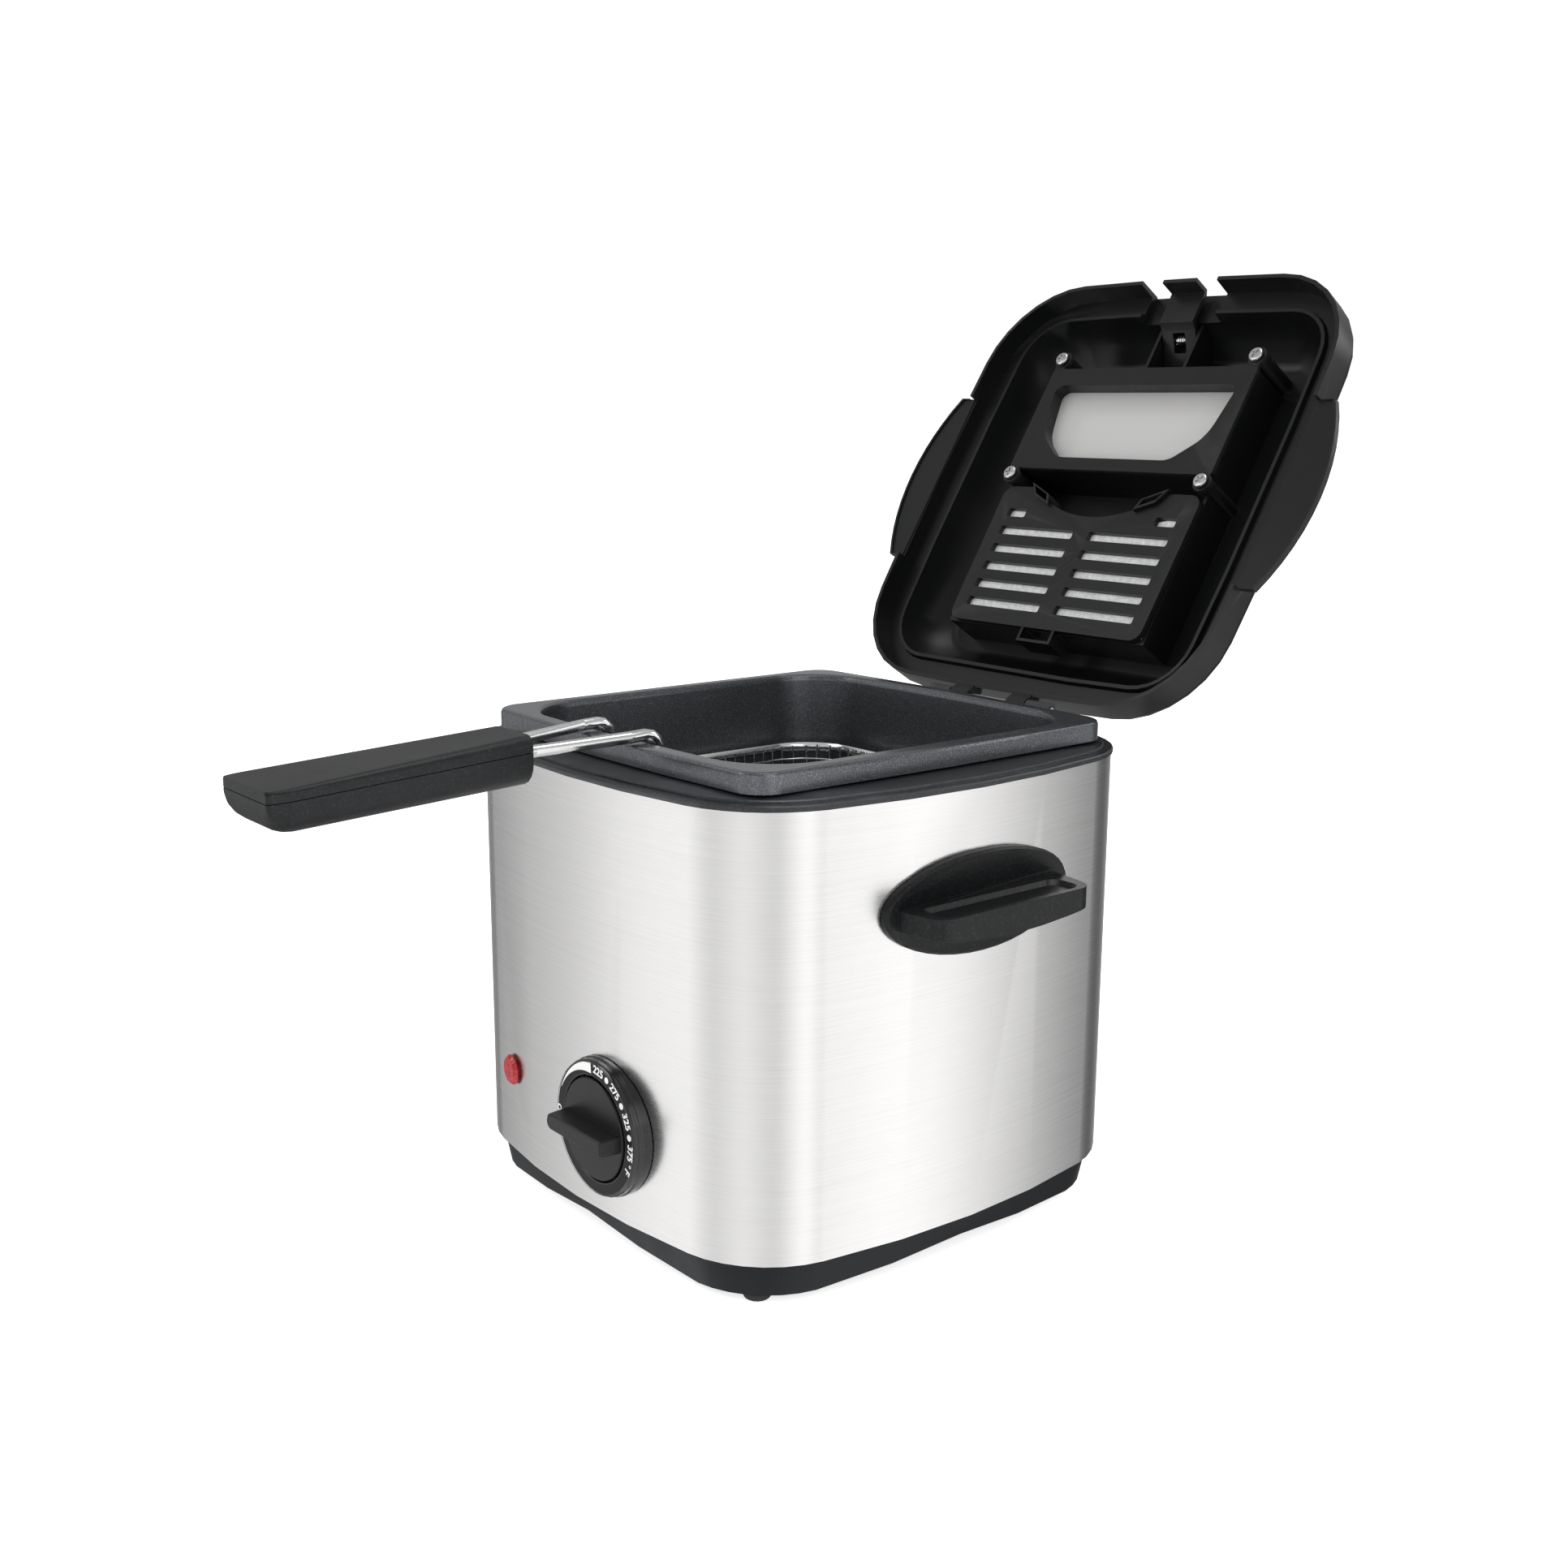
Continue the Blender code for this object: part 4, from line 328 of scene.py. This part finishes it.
cast_aluminium = moulded("Cast aluminium", (0.40, 0.41, 0.42), (0.58, 0.59, 0.60), 0.45, 500.0, depth=0.00005,
                         metallic=1.0)
element_steel = moulded("Heat-tinted steel tube", (0.22, 0.19, 0.17), (0.40, 0.36, 0.33), 0.38, 400.0,
                        metallic=1.0)
drawn_copper = moulded("Drawn copper", (0.62, 0.28, 0.17), (0.78, 0.42, 0.28), 0.3, 300.0, metallic=1.0)
phenolic = moulded("Dark phenolic moulding", (0.012, 0.010, 0.009), (0.03, 0.026, 0.022), 0.3, 800.0)
red_lead = moulded("Red insulation", (0.40, 0.02, 0.015), (0.5, 0.035, 0.03), 0.45, 500.0)
grey_lead = moulded("Grey insulation", (0.30, 0.31, 0.32), (0.38, 0.39, 0.40), 0.45, 500.0)
black_lead = moulded("Black insulation", (0.02, 0.02, 0.02), (0.035, 0.035, 0.035), 0.45, 500.0)
dress(cast_aluminium, "heat_spreader")
dress(element_steel, "heating_element")
dress(plain_steel, "clamp_strap", "thermal_fuse", "thermostat_bracket", "magnet_plate")
dress(zinc, "clamp_nut", "inlet_pin_left", "inlet_pin_right")
dress(drawn_copper, "sensor_tube")
dress(phenolic, "thermostat_body")
dress(red_lead, "lead_live")
dress(grey_lead, "lead_switched")
dress(black_lead, "lead_neutral")

# ---------------------------------------------------------------- dial
# The dial plate is a glossy black ring pressed into the sleeve, with a flat matt face round the knob.
# Its scale is pad-printed in white: off mark, rising wedge, temperatures and dots.

gloss_black = moulded("Glossy black rim", (0.006, 0.006, 0.0065), (0.010, 0.010, 0.011), 0.14, 600.0,
                      depth=0.000004, coat=0.3)
face_black = moulded("Matt printed face", (0.006, 0.0063, 0.007), (0.012, 0.0125, 0.0135), 0.46, 1500.0,
                     shine=0.25)
FACE_RADIUS = 0.0265
plate = moulding("dial_plate", gloss_black, 0.0003, 2, 28)
plate.data.materials.append(face_black)
dial_low, dial_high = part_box("dial_plate")
dial_x, dial_z = (dial_low.x + dial_high.x) / 2, (dial_low.z + dial_high.z) / 2
for polygon in plate.data.polygons:
    reach = math.hypot(polygon.center.x - dial_x, polygon.center.z - dial_z)
    if polygon.normal.y < -0.95 and reach < FACE_RADIUS:
        polygon.material_index = 1

ink = moulded("White pad print", (0.72, 0.72, 0.71), (0.86, 0.86, 0.85), 0.5, 1800.0, wear=0.0)
PRINT_RADIUS, FIGURE_HEIGHT, INK_PROUD = 0.0247, 0.0046, 0.00004
print_y = dial_low.y - INK_PROUD


def stand_on_dial(piece, clock_deg, radius):
    """Turns a flat piece, drawn at the origin in X and Y, to its clock angle and stands it on the dial."""
    alone(piece)
    turn = Matrix.Rotation(math.radians(-clock_deg), 4, "Z") @ Matrix.Translation((0, radius, 0))
    upright = Matrix.Rotation(math.radians(90), 4, "X")
    piece.matrix_world = Matrix.Translation((dial_x, print_y, dial_z)) @ upright @ turn @ piece.matrix_world
    set_down(piece)


def printed(text, size):
    """A word of ink as a thin mesh at the origin."""
    bpy.ops.object.select_all(action="DESELECT")
    bpy.ops.object.text_add()
    mark = bpy.context.object
    mark.data.body, mark.data.size = text, size
    mark.data.align_x, mark.data.align_y = "CENTER", "CENTER"
    mark.data.extrude = 0.00003
    mark.data.offset = 0.00012
    alone(mark)
    bpy.ops.object.convert(target="MESH")
    return bpy.context.object


marks = []
for text, clock in (("225", 8.0), ("275", 36.5), ("325", 65.5), ("375", 94.5), ("F", 114.5)):
    mark = printed(text, FIGURE_HEIGHT)
    stand_on_dial(mark, clock, PRINT_RADIUS)
    marks.append(mark)


def flat_ring(outer, inner, count=28):
    """A thin washer drawn at the origin, for ink or for a painted glint line. With no inner radius it is a
    dot.
    """
    bpy.ops.object.select_all(action="DESELECT")
    bpy.ops.mesh.primitive_cylinder_add(vertices=count, radius=outer, depth=0.00006)
    made = bpy.context.object
    bpy.ops.object.mode_set(mode="EDIT")
    bpy.ops.mesh.select_all(action="SELECT")
    if inner:
        bpy.ops.mesh.select_mode(type="FACE")
        bpy.ops.mesh.select_all(action="DESELECT")
        bpy.ops.object.mode_set(mode="OBJECT")
        for polygon in made.data.polygons:
            polygon.select = abs(polygon.normal.z) > 0.9
        bpy.ops.object.mode_set(mode="EDIT")
        bpy.ops.mesh.inset(thickness=outer - inner)
        bpy.ops.mesh.bridge_edge_loops()
    bpy.ops.object.mode_set(mode="OBJECT")
    return made


for clock in (22.0, 51.0, 80.0):
    dot = flat_ring(0.00130, 0.0)
    stand_on_dial(dot, clock, PRINT_RADIUS)
    marks.append(dot)
off_mark = flat_ring(0.00150, 0.00085)
stand_on_dial(off_mark, -88.0, PRINT_RADIUS + 0.0006)
marks.append(off_mark)
degree = flat_ring(0.00065, 0.00034, 16)
stand_on_dial(degree, 107.0, PRINT_RADIUS + 0.0010)
marks.append(degree)

# The wedge starts as a hair line and grows to the width of the numbers
WEDGE_START, WEDGE_TURN, WEDGE_RADIUS, WEDGE_WIDTH, HAIR_LINE = -66.0, 62.0, 0.0256, 0.0043, 0.0002
bpy.ops.object.select_all(action="DESELECT")
bpy.ops.mesh.primitive_plane_add(size=1.0)
wedge = bpy.context.object
bpy.ops.object.mode_set(mode="EDIT")
bpy.ops.mesh.select_all(action="SELECT")
bpy.ops.mesh.subdivide(number_cuts=23)
bpy.ops.object.mode_set(mode="OBJECT")
for vertex in wedge.data.vertices:
    along, across = vertex.co.x + 0.5, vertex.co.y
    clock = math.radians(WEDGE_START + WEDGE_TURN * along)
    centre = WEDGE_RADIUS - 0.0008 * along
    radius = centre + across * (HAIR_LINE + WEDGE_WIDTH * along**1.3)
    vertex.co = Vector((radius * math.sin(clock), radius * math.cos(clock), 0.0))
stand_on_dial(wedge, 0.0, 0.0)
marks.append(wedge)
# Two faint light-grey rings are painted glints on the black face: the outer one lies on the edge where the
# matt face meets the glossy rim, the inner one just inside the print.
for line_radius in (0.0268, 0.0219):
    label = int(line_radius * 10000)
    line = flat_ring(line_radius + 0.00010, line_radius - 0.00010, 96)
    stand_on_dial(line, 0.0, 0.0)
    line.name = f"dial_line_{label}"
    painted_glint = moulded(f"Painted glint line {label}", (0.05, 0.052, 0.055), (0.08, 0.082, 0.085), 0.3, 900.0, wear=0.0)
    line.data.materials.append(painted_glint)
    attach(line, "housing")
bpy.ops.object.select_all(action="DESELECT")
for mark in marks:
    mark.select_set(True)
bpy.context.view_layer.objects.active = wedge
bpy.ops.object.join()
wedge.name = "dial_print"
wedge.data.materials.clear()
wedge.data.materials.append(ink)
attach(wedge, "housing")

# ---------------------------------------------------------------- knob
# The knob is a matt black disc with a raised turning bar, pressed on the thermostat's steel shaft.
# The bar is what the fingers turn, and its end points at the setting.

knob_black = moulded("Matt knob moulding", (0.005, 0.0053, 0.006), (0.011, 0.0115, 0.0125), 0.34, 1500.0,
                     depth=0.00002, shine=0.35)
moulding("control_knob", knob_black, 0.0007, 3, 30)
dress(zinc, "knob_shaft")

# ---------------------------------------------------------------- lamp
# The pilot lamp is a cut red acrylic lens over a neon bulb. Flat facets inside scatter the glow, and that
# sparkle is painted into the lens's colour.

red_lens = bpy.data.materials.new("Cut red acrylic")
red_lens.use_nodes = True
tree = red_lens.node_tree
shader = tree.nodes["Principled BSDF"]
shader.inputs["Transmission Weight"].default_value = 0.35
shader.inputs["Roughness"].default_value = 0.08
shader.inputs["IOR"].default_value = 1.49
# Painted light: each small cell is bright red in its middle and dark red at its rim, for the light the cut
# facets catch; the same cells also give the facets their relief.
cells = add(tree, "TexVoronoi", Scale=620.0)
tree.links.new(add(tree, "TexCoord").outputs["Object"], cells.inputs["Vector"])
tree.links.new(blended(tree, cells.outputs["Distance"], (0.75, 0.035, 0.05), (0.28, 0.004, 0.012)),
               shader.inputs["Base Color"])
facet = add(tree, "Bump", Strength=0.6, Distance=0.0002)
tree.links.new(cells.outputs["Distance"], facet.inputs["Height"])
tree.links.new(facet.outputs[0], shader.inputs["Normal"])
lens = moulding("lamp_lens", red_lens, 0.0003, 1, 20)
smooth(lens, 5)
dress(bpy.data.materials["White pad print"], "neon_bulb")

# ---------------------------------------------------------------- inlet
# At the back a recessed black inlet takes a breakaway plug: two pins and a steel plate for its magnet.

moulding("power_inlet", satin_black, 0.0004, 2, 30)

# ---------------------------------------------------------------- side grips
# Each side grip is a charcoal moulding with a heavy grain: an oval plate screwed to the sleeve from
# inside, and a scooped shelf for the fingers.

grained = moulded("Grained charcoal moulding", (0.0035, 0.004, 0.0045), (0.019, 0.021, 0.024), 0.38, 1000.0,
                  0.54, 0.00006, 0.12, shine=0.26)
moulding("side_grip_left", grained, 0.0013, 4, 30)
moulding("side_grip_right", grained, 0.0013, 4, 30)
dress(zinc, *[f"grip_screw_{side}_{end}" for side in ("left", "right") for end in ("front", "rear")])

# ---------------------------------------------------------------- lid
# The lid is a domed black moulding with a turned rim, finger wings, a housing for window and filter,
# and lugs on the hinge pin. A sprung latch is pinned in its front, and a lever button shows on top.

moulding("lid_shell", satin_black, 0.0006, 3, 30)
moulding("lid_latch", satin_black, 0.0003, 2, 30)
dress(zinc, "latch_pin", "latch_spring")
moulding("window_frame", satin_black, 0.0005, 3, 30)
moulding("filter_cover", satin_black, 0.0003, 2, 30)
dress(foot_rubber, "window_seal")

pane = bpy.data.materials.new("Toughened pane")
pane.use_nodes = True
tree = pane.node_tree
shader = tree.nodes["Principled BSDF"]
shader.inputs["Transmission Weight"].default_value = 1.0
shader.inputs["Metallic"].default_value = 0.0
shader.inputs["IOR"].default_value = 1.45
film = place_group(tree, grain, Scale=60.0)
tint = blended(tree, film.outputs["Drift"], (0.92, 0.95, 0.96), (0.97, 0.99, 1.0))
tree.links.new(tint, shader.inputs["Base Color"])
haze = add(tree, "MapRange", From_Min=0.3, From_Max=0.7, To_Min=0.03, To_Max=0.16)
tree.links.new(film.outputs["Drift"], haze.inputs["Value"])
tree.links.new(haze.outputs[0], shader.inputs["Roughness"])
outer_pane = moulding("window_glass", pane, 0.0, 1, 30)

# A second, misted pane just behind the frame keeps steam off the outer one
hinge = next(joint for joint in frame["joints"] if joint["name"] == "lid_hinge")
hinge_place = Matrix.Translation(hinge["pos_m"])
opened = hinge_place @ Matrix.Rotation(math.radians(hinge["range_deg"][0]), 4, "X") @ hinge_place.inverted()
inner_pane = bpy.data.objects.new("inner_pane", outer_pane.data.copy())
bpy.context.scene.collection.objects.link(inner_pane)
shut_pane = [opened.inverted() @ vertex.co for vertex in inner_pane.data.vertices]
shut_frame = [opened.inverted() @ vertex.co for vertex in frame["nodes"]["window_frame"].data.vertices]
PANE_INSET = 0.0068  # from the frame's face to the inner pane
drop = min(p.z for p in shut_pane) - min(p.z for p in shut_frame) - PANE_INSET
middle = (min(p.y for p in shut_pane) + max(p.y for p in shut_pane)) / 2
for vertex, point in zip(inner_pane.data.vertices, shut_pane):
    vertex.co = opened @ Vector((point.x * 0.975, middle + (point.y - middle) * 0.94, point.z - drop))
misted = pane.copy()
misted.name = "Misted pane"
shader = misted.node_tree.nodes["Principled BSDF"]
shader.inputs["Transmission Weight"].default_value = 0.35
misted.node_tree.links.remove(shader.inputs["Base Color"].links[0])
shader.inputs["Base Color"].default_value = (0.60, 0.595, 0.59, 1)
inner_pane.data.materials[0] = misted
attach(inner_pane, "lid")

felt = moulded("Grey filter mat", (0.70, 0.71, 0.72), (0.95, 0.95, 0.95), 0.9, 420.0, 0.42, 0.0006, 0.0)
dress(felt, "filter_pad")

# Four pan-head screws with cross recesses hold the window frame
HEAD_RADIUS, HEAD_HEIGHT = 0.0036, 0.0022
bpy.ops.object.select_all(action="DESELECT")
bpy.ops.mesh.primitive_cylinder_add(vertices=32, radius=HEAD_RADIUS, depth=HEAD_HEIGHT)
screw = bpy.context.object
bpy.ops.object.mode_set(mode="OBJECT")
dome = screw.modifiers.new("dome", "BEVEL")
dome.width, dome.segments, dome.limit_method = 0.0009, 4, "ANGLE"
slots = []
for turn in (0, 90):
    bpy.ops.object.select_all(action="DESELECT")
    bpy.ops.mesh.primitive_cube_add(size=1.0, location=(0, 0, -HEAD_HEIGHT / 2),
                                    scale=(0.0042, 0.0009, 0.0016), rotation=(0, 0, math.radians(turn + 20)))
    slot_cutter = bpy.context.object
    set_down(slot_cutter)
    recess = screw.modifiers.new("recess", "BOOLEAN")
    recess.operation, recess.object = "DIFFERENCE", slot_cutter
    slots.append(slot_cutter)
apply_all(screw)
smooth(screw, 30)
for slot_cutter in slots:
    bpy.data.objects.remove(slot_cutter)
for number in range(1, 5):
    node = frame["nodes"][f"lid_screw_{number}"]
    points = [opened.inverted() @ vertex.co for vertex in node.data.vertices]
    x = (min(p.x for p in points) + max(p.x for p in points)) / 2
    y = (min(p.y for p in points) + max(p.y for p in points)) / 2
    low = min(p.z for p in points)
    copy = bpy.data.objects.new(f"frame_screw_{number}", screw.data.copy())
    bpy.context.scene.collection.objects.link(copy)
    seat = Matrix.Translation((x, y, low + HEAD_HEIGHT / 2))
    copy.matrix_world = opened @ seat @ Matrix.Rotation(number * 0.9, 4, "Z")
    set_down(copy)
    copy.data.materials.append(zinc)
    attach(copy, "lid")
    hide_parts(f"lid_screw_{number}")
bpy.data.objects.remove(screw)

# ---------------------------------------------------------------- basket
# The basket is woven from plated steel wire and welded to a thicker rim. Straight wires run down one
# side, under the floor and up the other; level wires weave round them.

plated = moulded("Bright plated wire", (0.72, 0.72, 0.72), (0.86, 0.86, 0.86), 0.18, 700.0, depth=0.000004,
                 metallic=1.0)
WIRE = 0.00045  # radius
bas_low, bas_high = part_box("wire_basket")
half_x, half_y, top, floor = bas_high.x - 0.0007, bas_high.y - 0.0007, bas_high.z - 0.0010, bas_low.z + 0.0007
CORNER, TAPER, BEND = 0.024, 0.0045, 0.007


def side_reach(half_main, half_cross, across):
    """How far the wall stands out at a distance across, with rounded corners."""
    past = abs(across) - (half_cross - CORNER)
    return half_main if past <= 0 else half_main - CORNER + math.sqrt(max(0.0, CORNER**2 - past**2))


strands = []
STRANDS = 23
for axis in (0, 1):
    main, cross = ((half_x, half_y), (half_y, half_x))[axis]
    for i in range(STRANDS):
        across = (i / (STRANDS - 1) * 2 - 1) * (cross - TAPER - 0.0045)
        reach = side_reach(main, cross, across)
        path = []
        for sign in (-1, 1):
            leg = [(sign * reach, top), (sign * (reach - TAPER * 0.5), (top + floor) / 2),
                   (sign * (reach - TAPER), floor + BEND)]
            for t in (0.4, 0.8, 1.2, math.pi / 2):
                inward, down = TAPER + BEND * (1 - math.cos(t)), 1 - math.sin(t)
                leg.append((sign * (reach - inward), floor + BEND * down))
            path += leg if sign < 0 else leg[::-1]
        lift = 0.0004 if axis else -0.0002
        points = [(a, across, z + lift) if axis == 0 else (across, a, z + lift) for a, z in path]
        strands.append((points, False))
RINGS = 11
for i in range(RINGS):
    z = floor + BEND + (top - floor - BEND) * i / RINGS
    shrink = TAPER * (top - z) / (top - floor)
    points = []
    count = 96
    for k in range(count):
        t = 2 * math.pi * k / count
        c, s = math.cos(t), math.sin(t)
        a, b = half_x - shrink, half_y - shrink
        scale = 1 / max(abs(c) / a, abs(s) / b)
        x, y = scale * c, scale * s
        over_x, over_y = abs(x) - (a - CORNER), abs(y) - (b - CORNER)
        if over_x > 0 and over_y > 0:
            length = math.hypot(over_x, over_y)
            x = math.copysign(a - CORNER + over_x / length * CORNER, x)
            y = math.copysign(b - CORNER + over_y / length * CORNER, y)
        weave = 0.0003 * (1 if (k + i) % 2 else -1)
        points.append((x + weave * c, y + weave * s, z))
    strands.append((points, True))
web = bpy.data.curves.new("basket_web", "CURVE")
web.dimensions, web.bevel_depth, web.bevel_resolution, web.use_fill_caps = "3D", WIRE, 1, True
for points, closed in strands:
    line = web.splines.new("POLY")
    line.points.add(len(points) - 1)
    for spot, point in zip(line.points, points):
        spot.co = (*point, 1.0)
    line.use_cyclic_u = closed
basket_web = bpy.data.objects.new("basket_web", web)
bpy.context.scene.collection.objects.link(basket_web)
alone(basket_web)
bpy.ops.object.convert(target="MESH")
basket_web = bpy.context.object
smooth(basket_web, 60)
basket_web.data.materials.append(plated)
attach(basket_web, "basket")
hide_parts("wire_basket")
moulding("basket_rim", plated, 0.0, 1, 60)
moulding("handle_bracket", plated, 0.0003, 2, 30)

# ---------------------------------------------------------------- basket handle
# Two bright wires bend over the pot's rim and run into a two-piece grained grip, screwed together
# from below.

moulding("handle_wire", plated, 0.0, 1, 60)
moulding("grip_upper", grained, 0.0010, 3, 30)
moulding("grip_lower", grained, 0.0010, 3, 30)
dress(zinc, "grip_screw")

# ---------------------------------------------------------------- studio
# A white table and backdrop, soft lamps and the camera. None of it is part of the object.

bpy.ops.object.select_all(action="DESELECT")
bpy.ops.mesh.primitive_plane_add(size=80.0, location=(0, 0, -0.0002))
table = bpy.context.object
table.name = "studio_floor"
paper = bpy.data.materials.new("White paper")
paper.use_nodes = True
shader = paper.node_tree.nodes["Principled BSDF"]
shader.inputs["Base Color"].default_value = (0.93, 0.93, 0.93, 1)
shader.inputs["Roughness"].default_value = 0.9
shader.inputs["Emission Color"].default_value = (1, 1, 1, 1)
shader.inputs["Emission Strength"].default_value = 0.72
table.data.materials.append(paper)

FULL = 1.4  # brightness of the world, which the colours are shares of


def surroundings(tree, where):
    """Brightness of the white room and its grey flags, by heading round the object, for steel to mirror."""
    parts = tree.nodes.new("ShaderNodeSeparateXYZ")
    tree.links.new(where, parts.inputs[0])
    share = add(tree, "MapRange", From_Min=-math.pi, From_Max=math.pi)
    tree.links.new(maths(tree, "ARCTAN2", parts.outputs["Y"], parts.outputs["X"]), share.inputs["Value"])
    bands = tree.nodes.new("ShaderNodeValToRGB")
    tree.links.new(share.outputs[0], bands.inputs[0])
    stops = [(-180, 0.12), (-170, 0.36), (-160, 0.62), (-146, 0.84), (-134, 1.22), (-126, 1.36), (-117, 1.20)]
    stops += [(-93, 0.90), (-62, 1.15), (-30, 0.86), (-2, 1.50), (18, 1.05), (29, 1.60), (38, 1.42)]
    stops += [(44, 1.20), (52, 0.92), (60, 0.64), (68, 0.27), (80, 0.12), (98, 0.10), (125, 0.5), (150, 0.4)]
    ramp = bands.color_ramp
    ramp.interpolation = "LINEAR"
    for heading, value in stops:
        mark = ramp.elements.new((heading + 180) / 360) if heading > -180 else ramp.elements[0]
        mark.color = (value / FULL, value / FULL, value / 1.395, 1)
    ramp.elements[-1].color = (0.16, 0.16, 0.16, 1)
    return bands.outputs[0]


# Mirrors look through the floor to the room, so their bands stay upright down to the base
tree = paper.node_tree
clear = tree.nodes.new("ShaderNodeBsdfTransparent")
seen = tree.nodes.new("ShaderNodeLightPath")
either = tree.nodes.new("ShaderNodeMixShader")
tree.links.new(seen.outputs["Is Glossy Ray"], either.inputs[0])
tree.links.new(shader.outputs[0], either.inputs[1])
tree.links.new(clear.outputs[0], either.inputs[2])
tree.links.new(either.outputs[0], tree.nodes["Material Output"].inputs["Surface"])

sky = bpy.data.worlds.new("studio")
bpy.context.scene.world = sky
sky.use_nodes = True
tree = sky.node_tree
seen = tree.nodes.new("ShaderNodeLightPath")
room = blended(tree, seen.outputs["Is Diffuse Ray"], (0.72, 0.72, 0.72), (0.58, 0.58, 0.58))
around = add(tree, "TexCoord").outputs["Generated"]
parts = tree.nodes.new("ShaderNodeSeparateXYZ")
tree.links.new(around, parts.inputs[0])
overhead = add(tree, "MapRange", From_Min=0.05, From_Max=0.45)
tree.links.new(parts.outputs["Z"], overhead.inputs["Value"])
mirrored = blended(tree, overhead.outputs[0], surroundings(tree, around), (0.36, 0.36, 0.36))
lit = blended(tree, seen.outputs["Is Glossy Ray"], room, mirrored)
tree.links.new(lit, tree.nodes["Background"].inputs[0])
tree.nodes["Background"].inputs[1].default_value = FULL
bpy.context.scene.view_settings.view_transform = "Standard"


def softbox(name, place, aim, size, power):
    """A square lamp at a place, facing its aim."""
    light = bpy.data.lights.new(name, "AREA")
    light.shape, light.size, light.energy = "SQUARE", size, power
    lamp = bpy.data.objects.new(name, light)
    bpy.context.scene.collection.objects.link(lamp)
    lamp.location = place
    lamp.rotation_mode = "QUATERNION"
    lamp.rotation_quaternion = (Vector(aim) - Vector(place)).to_track_quat("-Z", "Y")


softbox("key", (-0.9, -1.3, 1.3), (0, 0, 0.15), 0.9, 7)
softbox("fill", (1.5, -0.3, 0.8), (0, 0, 0.2), 0.9, 3)
softbox("top", (0.1, 0.2, 1.6), (0, 0, 0.2), 0.8, 6)
softbox("rear", (0.6, 1.4, 0.9), (0, 0.1, 0.2), 0.7, 4)

camera = bpy.data.objects.new("camera", bpy.data.cameras.new("camera"))
bpy.context.scene.collection.objects.link(camera)
yaw, pitch, roll = math.radians(51.22), math.radians(12.12), math.radians(0.24)
back = Vector((math.sin(yaw) * math.cos(pitch), -math.cos(yaw) * math.cos(pitch), math.sin(pitch)))
right = Vector((math.cos(yaw), math.sin(yaw), 0))
up = back.cross(right)
level = math.cos(roll) * right + math.sin(roll) * up
upright = -math.sin(roll) * right + math.cos(roll) * up
turned = Matrix((level, upright, back)).transposed().to_4x4()
camera.matrix_world = Matrix.Translation((0.56921, -0.47066, 0.33312)) @ turned
camera.data.sensor_width, camera.data.lens, camera.data.shift_x = 36.0, 40.436, 0.00871
bpy.context.scene.camera = camera
